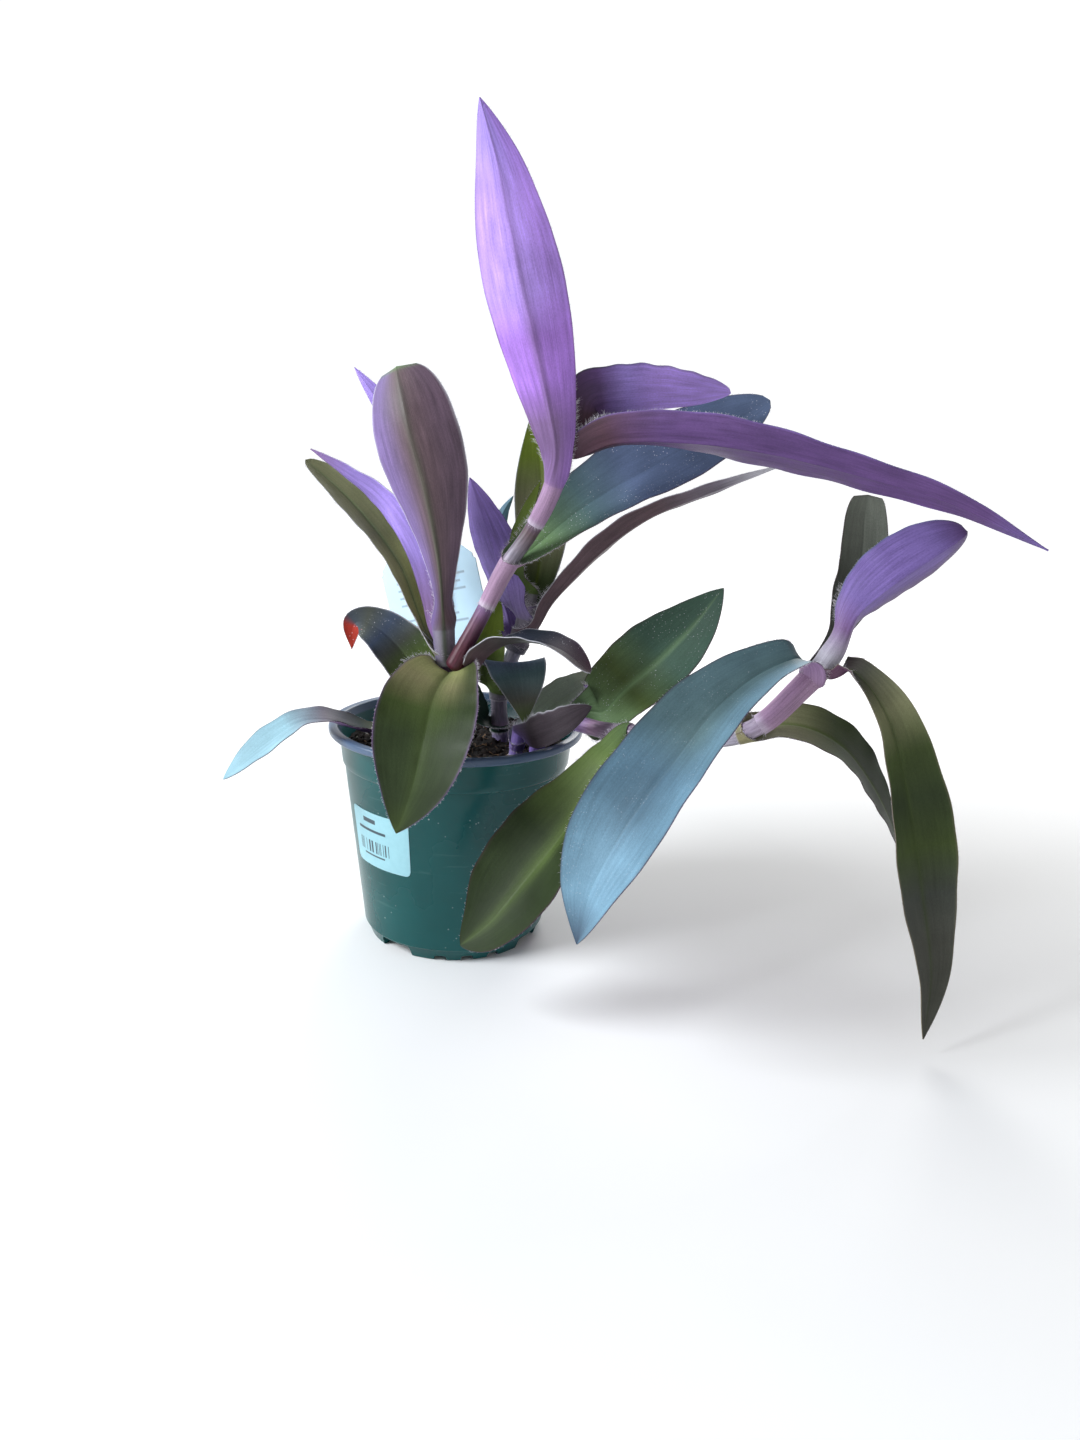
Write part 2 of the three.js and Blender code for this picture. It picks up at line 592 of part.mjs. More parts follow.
    side: [[0.95, 0, -0.3], [1, 0, 0]], clears: ["leaf_e6"],
  },
  {
    name: "leaf_f1", stem: "short", at: 0.99, look: "violet", width: 26, base: 0.3, widest: 0.5, blunt: 0.6,
    across: 2,
    rib: [[34, -33, 100], [41, -38, 104], [48, -42, 109], [56, -43, 116]],
    side: [[-0.85, -0.4, 0.4], [-0.6, -0.65, 0.5]], fold: [45, 45, 35], curl: [50, 25, 10],
  },
  {
    name: "leaf_f2", stem: "short", at: 0.88, look: "olive", width: 17, base: 0.3, widest: 0.5, across: 2,
    rib: [[34, -13, 102], [42, -9, 109], [53, -7, 116], [65, -6, 124]],
    side: [[0.43, -0.8, -0.4], [0.4, -0.75, -0.5]], clears: ["leaf_f1"],
  },
];

// The value of a list at a share of the way along it.
function alongList(list, t) {
  const place = t * (list.length - 1);
  const before = Math.min(Math.floor(place), list.length - 2);
  const rest = place - before;
  if (Array.isArray(list[0])) {
    return vector(list[before]).lerp(vector(list[before + 1]), rest);
  }
  return list[before] + rest * (list[before + 1] - list[before]);
}

// Half of the leaf's width, as a share of its widest, t along it.
function outlineShare(leaf, t) {
  if (t < leaf.widest) {
    const growth = Math.sin((0.5 * Math.PI * t) / leaf.widest);
    return leaf.base + (1 - leaf.base) * growth ** leaf.taper;
  }
  const rest = (t - leaf.widest) / (1 - leaf.widest);
  return Math.max(TIP_FRACTION, Math.max(0, Math.cos(0.5 * Math.PI * rest)) ** leaf.blunt);
}

// A point of the blade: t runs from base to tip, s from edge to edge, face is 1 above and -1 below.
function leafPoint(leaf, t, s, face, grow) {
  const along = leaf.curve.getTangentAt(t);
  const side = alongList(leaf.side, t);
  side.addScaledVector(along, -side.dot(along)).normalize();
  const up = side.clone().cross(along);
  const half = 0.5 * leaf.width * outlineShare(leaf, t) + grow;
  const fold = degrees(alongList(leaf.fold, t));
  const curl = degrees(alongList(leaf.curl, t));
  const way = Math.sign(s);
  const reach = Math.abs(s);
  const bend = fold + curl * reach;
  const across = (half * (Math.sin(bend) - Math.sin(fold))) / curl;
  const edgeRise = (half * (Math.cos(fold) - Math.cos(fold + curl))) / curl;
  const rise = (half * (Math.cos(fold) - Math.cos(bend))) / curl - 0.5 * edgeRise;
  const wave = leaf.wave * reach ** 2 * Math.sin(2 * Math.PI * leaf.waves * t + way) * Math.sin(Math.PI * t);
  const thickness = RIB_THICKNESS + (EDGE_THICKNESS - RIB_THICKNESS) * reach ** 2;
  const offset = face * (0.5 * thickness + grow);
  const point = leaf.curve.getPointAt(t);
  point.addScaledVector(side, way * across - way * offset * Math.sin(bend));
  point.addScaledVector(up, rise + wave + offset * Math.cos(bend));
  return point;
}

function bladeSolid(leaf, grow) {
  const { places, across } = leaf;
  const rows = places.length - 1;
  const points = [];
  for (const face of [1, -1]) {
    for (let i = 0; i <= rows; i += 1) {
      for (let j = 0; j <= across; j += 1) {
        points.push(leafPoint(leaf, places[i], (2 * j) / across - 1, face, grow));
      }
    }
  }
  const above = (i, j) => i * (across + 1) + j;
  const below = (i, j) => (rows + 1) * (across + 1) + above(i, j);
  const triangles = [];
  const quad = (a, b, c, d) => triangles.push(a, b, c, a, c, d);
  for (let i = 0; i < rows; i += 1) {
    for (let j = 0; j < across; j += 1) {
      quad(above(i, j), above(i, j + 1), above(i + 1, j + 1), above(i + 1, j));
      quad(below(i, j), below(i + 1, j), below(i + 1, j + 1), below(i, j + 1));
    }
    quad(above(i, 0), above(i + 1, 0), below(i + 1, 0), below(i, 0));
    quad(above(i, across), below(i, across), below(i + 1, across), above(i + 1, across));
  }
  for (let j = 0; j < across; j += 1) {
    quad(above(0, j), below(0, j), below(0, j + 1), above(0, j + 1));
    quad(above(rows, j), above(rows, j + 1), below(rows, j + 1), below(rows, j));
  }
  return solidOf(points, triangles);
}

// A leaf's blade with the sheath that clasps its stem, grown outwards by a distance.
function bladeAndSheath(leaf, grow) {
  const stem = STEMS[leaf.stem];
  const length = stem.curve.getLength();
  const from = leaf.at - leaf.sheath / length;
  const to = Math.min(1, leaf.at + SHEATH_OVERLAP / length);
  return bladeSolid(leaf, grow).add(stretch(stem, from, to, CLEAR + SHEATH_WALL + grow, grow));
}

// A leaf has a plain hole where its stem stands, and room for the leaves it clears.
function makeLeaf(leaf) {
  const stem = leaf.stem === "branch" ? STEMS.left : STEMS[leaf.stem];
  let solid = bladeAndSheath(leaf, 0).subtract(stemSolid(stem, CLEAR));
  for (const other of LEAVES.filter(({ name }) => leaf.clears.includes(name))) {
    solid = solid.subtract(bladeAndSheath(other, CLEAR));
  }
  return solid;
}

// The middle line starts on the stem's axis, steps out past its surface and then follows its points.
// The blade has a row of points at its start, one at the step and the rest evenly up to its tip.
function layOut(leaf) {
  const stem = STEMS[leaf.stem];
  const start = stem.curve.getPointAt(leaf.at);
  const along = stem.curve.getTangentAt(leaf.at);
  const outward = vector(leaf.rib[0]).sub(start);
  outward.addScaledVector(along, -outward.dot(along)).normalize();
  const elbow = start.clone().addScaledVector(outward, stemRadius(stem, leaf.at) + ELBOW_OUT);
  elbow.addScaledVector(along, ELBOW_UP);
  leaf.curve = new THREE.CatmullRomCurve3([start, elbow, ...leaf.rib.map(vector)]);
  const length = leaf.curve.getLength();
  const step = elbow.distanceTo(start) / length;
  const rows = Math.max(FEWEST_ROWS, Math.round(length / ROW_SPACING));
  leaf.places = [0];
  for (let i = 0; i < rows; i += 1) {
    leaf.places.push(1 - (1 - step) * (1 - i / (rows - 1)));
  }
}

for (const settings of LEAVES) {
  layOut(Object.assign(settings, { ...USUAL, ...settings }));
}

// The part

const MAIN_STEMS = ["left", "middle", "right", "short"];
let soil = makeSoil().subtract(tagSolid(CLEAR));
for (const name of MAIN_STEMS) {
  soil = soil.subtract(stemSolid(STEMS[name], CLEAR));
}
addNode("pot", makePot(), LOOKS.pot);
addNode("soil", soil, LOOKS.soil);
addNode("price_sticker", makeSticker(), LOOKS.sticker);
addNode("plant_tag", tagSolid(0), LOOKS.tag);
for (const name of MAIN_STEMS) {
  addNode(`stem_${name}`, stemSolid(STEMS[name], 0), LOOKS.stem);
}
for (const leaf of LEAVES) {
  addNode(leaf.name, makeLeaf(leaf), LOOKS[leaf.look]);
}

export default group;
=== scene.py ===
# A young tradescantia in its nursery pot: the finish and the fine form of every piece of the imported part.
# Lengths are in millimetres until a mesh is made. +X is the way the plant leans, +Y is away from the
# viewer and +Z is up.
import math
from functools import cache, cached_property
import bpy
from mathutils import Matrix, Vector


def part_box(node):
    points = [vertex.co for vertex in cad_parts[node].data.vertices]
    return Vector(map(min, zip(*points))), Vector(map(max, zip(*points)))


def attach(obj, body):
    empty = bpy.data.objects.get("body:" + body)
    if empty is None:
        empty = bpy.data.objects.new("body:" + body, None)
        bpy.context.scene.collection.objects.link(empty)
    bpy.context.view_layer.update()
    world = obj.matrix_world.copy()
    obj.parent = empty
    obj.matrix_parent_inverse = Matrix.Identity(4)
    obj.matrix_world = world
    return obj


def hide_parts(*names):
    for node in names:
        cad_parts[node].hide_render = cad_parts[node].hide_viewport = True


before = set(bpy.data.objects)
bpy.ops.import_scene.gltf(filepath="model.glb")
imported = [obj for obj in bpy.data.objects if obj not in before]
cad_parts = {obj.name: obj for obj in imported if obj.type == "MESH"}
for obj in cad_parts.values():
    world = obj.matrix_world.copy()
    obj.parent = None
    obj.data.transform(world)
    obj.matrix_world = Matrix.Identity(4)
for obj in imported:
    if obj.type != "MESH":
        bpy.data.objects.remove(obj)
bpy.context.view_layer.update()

from types import SimpleNamespace

import bmesh
import bpy
import numpy as np
from mathutils import Matrix, Vector, noise

MM = 0.001

# Camera, at the photograph's viewing angle, with its clipping in metres
CAMERA_TARGET = (36.2, 0, 97.5)
CAMERA_DISTANCE = 471
CAMERA_ELEVATION = 15.76
CAMERA_ROLL = 2.11
CAMERA_LENS = 27.03
CAMERA_SENSOR = 36
CAMERA_CLIP = (0.01, 50)

# Light: a pale surround, brightest low down and to the left and behind, and three soft lamps. A fade is
# where it starts and ends, and its strength there.
WORLD_COLOUR = (0.97, 0.985, 1, 1)
WORLD_HEIGHT_FADE = (0.34, 0.7, 1.08, 0.4)
WORLD_SIDE = (-0.6, 0.8, 0)
WORLD_SIDE_FADE = (-0.5, 0.25, 0.35, 1.0)
LIGHT_TARGET = (40, -20, 120)
LIGHTS = [
    {"name": "key", "place": (-640, -260, 520), "size": 420, "power": 9, "colour": (0.92, 0.96, 1)},
    {"name": "fill", "place": (500, -760, 420), "size": 600, "power": 0.5, "colour": (1, 0.98, 0.96)},
    {"name": "back", "place": (160, 640, 560), "size": 500, "power": 3, "colour": (1, 0.99, 0.96)},
]
FLOOR_RADIUS = 6000
FLOOR_SIDES = 64
FLOOR_TONES = (0.86, 0.9)
FLOOR_GLOW_FADE = (0.2, 0.9, 0.0, 0.7)

# Pot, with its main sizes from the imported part
POT_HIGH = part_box("pot")[1] / MM
RIM_RADIUS = POT_HIGH.x
POT_HEIGHT = POT_HIGH.z
LIP_HEIGHT = 3.4
LIP_ROUND = 1.2
MOUTH_RADIUS = RIM_RADIUS - 4
COLLAR_TOP_RADIUS = 50.4
COLLAR_FOOT_RADIUS = 49.2
COLLAR_FOOT_HEIGHT = 79.4
WALL_TOP_RADIUS = 48.4
WALL_FOOT_RADIUS = 40.2
FOOT_HEIGHT = 6
FOOT_TOP_RADIUS = 39.4
FOOT_RADIUS = 37.7
FOOT_ROUND = 0.8
POT_WALL = 1
FLOOR_TOP = 2.5
PAD_RADIUS = 22
FOOT_RING_RADIUS = 33
CHANNEL_RISE = 1.5
POT_SEGMENTS = 240
POT_SHARP = 35
DRAIN_WIDTH = 16
DRAIN_HEIGHT = 4.8
DRAIN_ANGLES = (-126, -27)
NOTCH_WIDTH = 5
NOTCH_HEIGHT = 2.4
NOTCH_ANGLES = (-94, -76.5, -59)

# Soil. Crumbs and perlite have their least and greatest size, and how deep they are sunk.
SOIL_LEVEL = 85
SOIL_BUMP = 1.3
SOIL_ROUGH = 1.6
SOIL_RADIUS = COLLAR_FOOT_RADIUS - POT_WALL - 0.3
SOIL_INSET = POT_WALL + 0.6
SOIL_SIDES = [
    (WALL_TOP_RADIUS - SOIL_INSET, COLLAR_FOOT_HEIGHT - 1),
    (WALL_FOOT_RADIUS - SOIL_INSET, FOOT_HEIGHT),
    (FOOT_RADIUS - SOIL_INSET, FLOOR_TOP + 0.3),
]
SOIL_RINGS = 70
SOIL_SEGMENTS = 200
CRUMBS = 900
CRUMB_SIZES = (0.5, 1.9)
CRUMB_SUNK = 0.35
PERLITE = 26
PERLITE_SIZES = (0.5, 1.2)
PERLITE_SUNK = 0.25
FIBRES = 130
FIBRE_STEPS = 9
FIBRE_STEP = 0.9
FIBRE_RADIUS = (0.12, 0.3)
FIBRE_SIDES = 5

# Price sticker. Rules here and on the tag are shares of the height and of the width, from low to high.
STICKER_WIDTH = 34
STICKER_BOTTOM = 39.5
STICKER_TOP = 64.5
STICKER_ANGLE = -131
STICKER_CORNER = 2.5
STICKER_LIFTS = (0.2, 0.02)
STICKER_GRID = (60, 40)
STICKER_BARS = (0.26, 0.48, 0.14, 0.72)
STICKER_RULES = [(0.8, 0.88, 0.26, 0.5), (0.64, 0.69, 0.14, 0.66), (0.19, 0.22, 0.22, 0.62)]

# Plant tag. Its rules all start at one place, and each has its level and its end.
TAG_WIDTH = 48
TAG_HEIGHT = 62
TAG_CORNER = 7
TAG_THICKNESS = 0.6
STAKE_WIDTH = 11
STAKE_LENGTH = 66
TAG_TOP = (-18.5, 31, 166)
TAG_LEAN = -15
TAG_TURN = -20
TAG_RULE_START = 0.14
TAG_RULE_HEIGHT = 0.016
TAG_RULES = [
    (0.88, 0.5), (0.78, 0.86), (0.725, 0.8), (0.67, 0.84), (0.615, 0.56), (0.5, 0.72), (0.445, 0.8),
]

# Stems
STEM_SIDES = 32
STEM_RING_SPACING = 0.8
STEM_END_ROUND = 2.8
NODE_SWELL = 0.28
NODE_REACH = 2.2
FOOT_SWELL_REACH = 9

# Leaves and sheaths. A sheath's rows are counted from SHEATH_PLACE to 0, and the blade's on to 1.
ELBOW_OUT = 2
ELBOW_UP = 0.8
SHEATH_GAP = 0.15
SHEATH_FLARE = 0.3
SHEATH_THICKNESS = 0.3
SHEATH_PLACE = -0.12
NEST_LIMIT = 9
NEST_STEP = 0.3
RIB_THICKNESS = 0.8
EDGE_THICKNESS = 0.32
TIP_FRACTION = 0.012
RIB_GROOVE = 0.45
RIB_GROOVE_WIDTH = 0.07
MARGIN_WAVES = 2.5
MARGIN_RIPPLE = 0.28
MARGIN_RIPPLES = 3.1 * MARGIN_WAVES
BLADE_ROWS = 72
BLADE_ROW_POWER = 0.92
OPENING_ROWS = 16
HALF_COLUMNS = np.array([0, 0.03, 0.07, 0.13, 0.21, 0.3, 0.4, 0.5, 0.6, 0.7, 0.79, 0.87, 0.93, 0.975, 1])
COLUMNS = np.concatenate([-HALF_COLUMNS[:0:-1], HALF_COLUMNS])

# The map of the leaves' patterns: its scale across and along, and how far each leaf's is moved on
MAP_ACROSS = 0.05
MAP_ALONG = 0.1
MAP_STEP = 3.7

# Hairs
HAIR_RADIUS = 0.035
HAIR_DROOP = 0.18
HAIR_STRAY = 0.3
MARGIN_HAIR_SPACING = 0.4
MARGIN_HAIR_LENGTH = (0.5, 1.1)
MOUTH_HAIR_SPACING = 0.25
MOUTH_HAIR_LENGTH = (1.2, 2.8)
FOOT_HAIR_SPACING = 0.5
FOOT_HAIR_LENGTH = (0.8, 1.8)

# Colours, as they look on a screen in full light. A few are painted light and shade: the dark shade paint,
# the pale blue of g1's sheen, the pale sage glow of f2 and the grey-blue reflection on the pot's lip.
PAINTS = {
    "lilac": (168, 138, 220), "orchid": (154, 111, 198), "violet": (146, 124, 200), "grape": (110, 92, 152),
    "mauve": (112, 86, 128), "plum": (82, 58, 104), "berry": (96, 64, 84), "wine": (64, 40, 52),
    "maroon": (72, 28, 42), "bark": (86, 69, 74), "rose": (150, 122, 148), "milk": (206, 206, 214),
    "straw": (132, 128, 92), "wheat": (160, 164, 108), "sand": (128, 120, 100), "khaki": (126, 128, 96),
    "lime": (104, 122, 44), "leek": (92, 112, 58), "fern": (100, 126, 88), "sage": (150, 168, 142),
    "olive": (66, 80, 42), "moss": (52, 64, 40), "shade": (38, 50, 26), "pine": (54, 76, 64),
    "night": (22, 40, 32), "cloud": (102, 106, 98), "mist": (84, 98, 126), "teal": (74, 96, 100),
    "steel": (76, 103, 120), "sky": (106, 140, 160), "frost": (132, 166, 178), "navy": (56, 66, 84),
    "ink": (42, 48, 60), "slate": (68, 72, 66), "stone": (76, 77, 70), "ash": (116, 110, 122),
    "silver": (162, 158, 170), "soot": (58, 50, 56), "amber": (150, 44, 32), "hair": (236, 226, 238),
    "pot_deep": (4, 66, 66), "pot_light": (12, 82, 82), "lip_reflection": (72, 90, 114), "dust": (190, 205, 205),
    "scuff": (120, 160, 152), "earth_dark": (15, 12, 11), "earth": (38, 31, 28), "earth_pale": (84, 70, 60),
    "perlite_dark": (128, 122, 112), "perlite": (214, 212, 204), "fibre_dark": (48, 34, 26),
    "fibre": (128, 98, 68), "paper_dark": (134, 182, 192), "paper": (148, 194, 204), "print": (22, 34, 48),
    "card_dark": (188, 220, 242), "card": (206, 234, 252), "card_print": (96, 110, 128),
}

random = np.random.default_rng(7)


# Numbers and lines

def smooth_step(low, high, value):
    share = np.clip((value - low) / (high - low), 0, 1)
    return share * share * (3 - 2 * share)


def unit(vectors):
    return vectors / np.maximum(np.linalg.norm(vectors, axis=-1, keepdims=True), 1e-9)


def square_to(vectors, axis):
    """Unit vectors made square to an axis."""
    return unit(vectors - axis * (vectors * axis).sum(-1, keepdims=True))


def read_off(places, values, stops=None):
    """Values at places between their stops, which lie evenly from 0 to 1 unless they are given."""
    values = np.array(values, float)
    if stops is None:
        stops = np.linspace(0, 1, len(values))
    if values.ndim == 1:
        return np.interp(places, stops, values)
    return np.stack([np.interp(places, stops, column) for column in values.T], -1)


def reach_along(points):
    """How far along a line each of its points is."""
    return np.concatenate([[0], np.cumsum(np.linalg.norm(np.diff(points, axis=0), axis=1))])


def circle(radius, z, sides):
    """Points of a level circle round the pot's axis."""
    angles = np.arange(sides) * 2 * math.pi / sides
    return [(radius * math.cos(angle), radius * math.sin(angle), z) for angle in angles]


def round_about(middle, first, second, radius, angles):
    """Points round each middle, by their angles from a first way towards a second one."""
    x = (radius * np.cos(angles))[..., None]
    y = (radius * np.sin(angles))[..., None]
    return middle[..., None, :] + x * first[..., None, :] + y * second[..., None, :]


class Curve:
    """A centripetal spline through points, as the part's source draws it, read by its share of length."""

    def __init__(self, points, per_span=80):
        given = np.array(points, float)
        ends = [2 * given[0] - given[1], *given, 2 * given[-1] - given[-2]]
        steps = np.arange(1, per_span + 1)[:, None] / per_span
        spans = [self.span(*four, steps) for four in zip(ends, ends[1:], ends[2:], ends[3:])]
        self.points = np.concatenate([given[:1], *spans])
        reach = reach_along(self.points)
        self.length = reach[-1]
        self.shares = reach / self.length
        self.slopes = np.gradient(self.points, reach, axis=0)

    @staticmethod
    def span(x0, x1, x2, x3, t):
        d0, d1, d2 = [math.sqrt(np.linalg.norm(b - a)) for a, b in ((x0, x1), (x1, x2), (x2, x3))]
        t1 = ((x1 - x0) / d0 - (x2 - x0) / (d0 + d1) + (x2 - x1) / d1) * d1
        t2 = ((x2 - x1) / d1 - (x3 - x1) / (d1 + d2) + (x3 - x2) / d2) * d1
        return x1 + t1 * t + (-3 * x1 + 3 * x2 - 2 * t1 - t2) * t**2 + (2 * x1 - 2 * x2 + t1 + t2) * t**3

    def at(self, share):
        return read_off(share, self.points, self.shares)

    def along(self, share):
        return unit(read_off(share, self.slopes, self.shares))


# Colours

def paint(name):
    """A paint as the linear numbers that shaders use."""
    share = np.array(PAINTS[name]) / 255
    return np.where(share <= 0.04045, share / 12.92, ((share + 0.055) / 1.055) ** 2.4)


def hue(name):
    return (*paint(name), 1)


def gradient(text, places):
    """Colours along the paints of a text, spaced evenly from 0 to 1, where plum*3 is three of plum."""
    colours = []
    for word in text.split():
        name, _, times = word.partition("*")
        colours += [paint(name)] * int(times or 1)
    return read_off(places, colours)


def blended(colours, paint_name, share):
    return colours + (paint(paint_name) - colours) * share[..., None]


# Meshes and objects

def add_object(name, data):
    thing = bpy.data.objects.new(name, data)
    bpy.context.scene.collection.objects.link(thing)
    return thing


def make_mesh(name, points, faces, materials=()):
    """A mesh from points in millimetres."""
    mesh = bpy.data.meshes.new(name)
    mesh.from_pydata((np.asarray(points) * MM).tolist(), [], faces)
    for material in materials:
        mesh.materials.append(material)
    return mesh


def smooth(mesh, sharp):
    """Smooth shading, apart from edges that turn by more degrees than that."""
    mesh.shade_smooth()
    mesh.set_sharp_from_angle(angle=math.radians(sharp))


def add_piece(name, points, faces, materials, slot, replaces=None, face_materials=None, tint=None, uv=None,
              sharp=40):
    """A piece from points in millimetres, with its colours and its map where it has them."""
    mesh = make_mesh(name, points, faces, materials)
    if face_materials is not None:
        mesh.polygons.foreach_set("material_index", np.asarray(face_materials, np.int32))
    if tint is not None:
        colours = np.ones((len(points), 4), np.float32)
        colours[:, :3] = tint
        mesh.color_attributes.new("tint", "FLOAT_COLOR", "POINT").data.foreach_set("color", colours.ravel())
    if uv is not None:
        corners = np.zeros(len(mesh.loops), np.int32)
        mesh.loops.foreach_get("vertex_index", corners)
        layer = mesh.uv_layers.new(name="grain")
        layer.data.foreach_set("uv", np.asarray(uv, np.float32)[corners].ravel())
    smooth(mesh, sharp)
    mesh.update()
    piece = add_object(name, mesh)
    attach(piece, "root")
    if replaces:
        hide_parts(replaces)
    return piece


def chart(across, along):
    """Places on a flat map, from how far across it and along it they are."""
    return np.stack(np.broadcast_arrays(across, along), -1).reshape(-1, 2)


def grid_faces(rows, columns, start=0, closed=False):
    """Quads of a grid of points, row after row. A closed grid joins its last column to its first."""
    i, j = np.meshgrid(np.arange(rows - 1), np.arange(columns if closed else columns - 1), indexing="ij")
    first = start + i * columns
    following = (j + 1) % columns
    quads = [first + j, first + following, first + columns + following, first + columns + j]
    return np.stack(quads, -1).reshape(-1, 4).tolist()


def turned_over(faces):
    """The same faces, seen from their other side."""
    return [face[:1] + face[:0:-1] for face in faces]


def tube_faces(rings, sides, start=0):
    """Faces of a closed tube, ring after ring, with a cap on either end."""
    first = list(range(start, start + sides))
    last = [number + (rings - 1) * sides for number in first]
    return grid_faces(rings, sides, start, closed=True) + [first[::-1], last]


def sheet_faces(rows, columns):
    """Faces of a closed thin sheet: a grid of points, one under it, and the rims between the two."""
    count = rows * columns
    grid = np.arange(count).reshape(rows, columns)
    rim = np.concatenate([grid[0, :-1], grid[:-1, -1], grid[-1, :0:-1], grid[:0:-1, 0]]).tolist()
    rims = [[b, a, a + count, b + count] for a, b in zip(rim, rim[1:] + rim[:1])]
    return grid_faces(rows, columns) + turned_over(grid_faces(rows, columns, count)) + rims


# Materials

class Nodes:
    """A node tree, with short ways to add and join its nodes."""

    def __init__(self, tree):
        self.nodes, self.links = tree.nodes, tree.links

    def put(self, value, socket):
        """Links another node's output to a socket, or sets the socket to a constant."""
        if isinstance(value, bpy.types.NodeSocket):
            self.links.new(value, socket)
        else:
            socket.default_value = value

    def add(self, kind, output, inputs=None, **settings):
        """The named output of a new node."""
        node = self.nodes.new("ShaderNode" + kind)
        for name, value in settings.items():
            setattr(node, name, value)
        for name, value in (inputs or {}).items():
            self.put(value, node.inputs[name])
        return node.outputs[output]

    def math(self, operation, a, b):
        return self.add("Math", 0, {0: a, 1: b}, operation=operation)

    def times(self, a, b):
        return self.math("MULTIPLY", a, b)

    def spread(self, value, low, high, to_low=0.0, to_high=1.0):
        inputs = {"Value": value, "From Min": low, "From Max": high, "To Min": to_low, "To Max": to_high}
        return self.add("MapRange", "Result", inputs)


class Surface(Nodes):
    """A material, with short ways to lay patterns on it."""

    def __init__(self, name, roughness, **constants):
        self.material = bpy.data.materials.new(name)
        self.material.use_nodes = True
        super().__init__(self.material.node_tree)
        self.shader = self.nodes["Principled BSDF"]
        for socket, value in {"Roughness": roughness, **constants}.items():
            self.shader.inputs[socket.replace("_", " ")].default_value = value

    @cached_property
    def place(self):
        return self.add("TexCoord", "Object")

    @cached_property
    def grain(self):
        return self.add("UVMap", "UV", uv_map="grain")

    @cached_property
    def tint(self):
        return self.add("Attribute", "Color", attribute_name="tint")

    def noise(self, scale, detail, roughness=0.5, vector=None):
        vector = self.place if vector is None else vector
        inputs = {"Vector": vector, "Scale": scale, "Detail": detail, "Roughness": roughness}
        return self.add("TexNoise", "Fac", inputs)

    def streaks(self, vector, scales, detail, roughness=0.5, shift=(0, 0, 0)):
        """Noise with a scale of its own along each axis."""
        drawn = self.add("Mapping", "Vector", {"Vector": vector, "Scale": scales, "Location": shift})
        return self.noise(1.0, detail, roughness, drawn)

    def mix(self, factor, a, b, blend="MIX"):
        return self.add("Mix", 2, {0: factor, 6: a, 7: b}, data_type="RGBA", blend_type=blend)

    def shaded(self, colour, *patterns):
        """A colour made darker and lighter by patterns, each with its least and its most."""
        factor = 1.0
        for pattern, least, most in patterns:
            factor = self.times(self.spread(pattern, 0.3, 0.7, least, most), factor)
        grey = self.add("CombineColor", "Color", {"Red": factor, "Green": factor, "Blue": factor})
        return self.mix(1.0, colour, grey, "MULTIPLY")

    def specked(self, colour, paint_name, amount, scale, size, patches, where):
        """Small specks of a paint, only in patches."""
        spots = self.add("TexVoronoi", "Distance", {"Vector": self.place, "Scale": scale})
        chance = self.times(self.spread(spots, *size), self.spread(self.noise(patches, 2.0), *where))
        return self.mix(self.times(chance, amount), colour, hue(paint_name))

    def band(self, axis, low, high, soft=0.004):
        """1 between two places along an axis of the map and 0 outside them."""
        value = self.add("SeparateXYZ", axis, {"Vector": self.grain})
        inside = self.spread(value, low - soft, low + soft)
        return self.times(inside, self.spread(value, high + soft, high - soft))

    def patch(self, low, high, start, end):
        """1 in an upright box on the map and 0 outside it."""
        return self.times(self.band("Y", low, high), self.band("X", start, end))

    def bump(self, height, distance, strength, under=None):
        inputs = {"Height": height, "Distance": distance * MM, "Strength": strength}
        if under:
            inputs["Normal"] = under
        return self.add("Bump", "Normal", inputs)

    def finish(self, colour, roughness=None, normal=None):
        for name, value in (("Base Color", colour), ("Roughness", roughness), ("Normal", normal)):
            if value is not None:
                self.links.new(value, self.shader.inputs[name])
        return self.material


@cache
def leaf_material(face, specks):
    """Waxy skin with long veins and soft mottling over the painted colours."""
    gloss, shine, contrast = {"upper": (0.42, 0.13, 0.5), "under": (0.44, 0.22, 1.0)}[face]
    skin = Surface(f"leaf_{face}_{round(10 * specks)}", gloss, Specular_IOR_Level=shine)
    streaks = skin.streaks(skin.grain, (6, 0.6, 1), 4.0)
    veins = skin.streaks(skin.grain, (34, 0.5, 1), 2.0, shift=(3, 1, 0))
    cells = skin.streaks(skin.grain, (22, 12, 1), 3.0, 0.7)
    blotches = skin.noise(55, 4.0)
    depths = ((streaks, 0.2 * contrast), (veins, 0.12 * contrast), (blotches, 0.16), (cells, 0.14))
    colour = skin.shaded(skin.tint, *((pattern, 1 - depth, 1 + depth) for pattern, depth in depths))
    if specks:
        colour = skin.specked(colour, "milk", 0.8 * specks, 900.0, (0.2, 0.12), 90, (0.45, 0.62))
    relief = skin.bump(cells, 0.12, 0.7, skin.bump(veins, 0.1, 0.5))
    return skin.finish(colour, skin.spread(blotches, 0.3, 0.7, gloss - 0.06, gloss + 0.1), relief)


@cache
def hair_material():
    hair = Surface("hairs", 0.45, Specular_IOR_Level=0.4, Sheen_Weight=0.3)
    return hair.finish(hair.mix(hair.noise(120, 2.0), hue("milk"), hue("hair")))


@cache
def stem_material():
    """Smooth skin with fine lengthwise lines and pale flecks."""
    skin = Surface("stem_skin", 0.38, Specular_IOR_Level=0.35)
    lines = skin.streaks(skin.grain, (14, 1.2, 1), 3.0)
    fine = skin.streaks(skin.grain, (40, 3, 1), 2.0)
    blotches = skin.noise(130, 4.0)
    colour = skin.shaded(skin.tint, (lines, 0.7, 1.25), (fine, 0.85, 1.12), (blotches, 0.8, 1.2))
    return skin.finish(colour, skin.spread(blotches, 0.3, 0.7, 0.32, 0.5), skin.bump(lines, 0.15, 0.7))


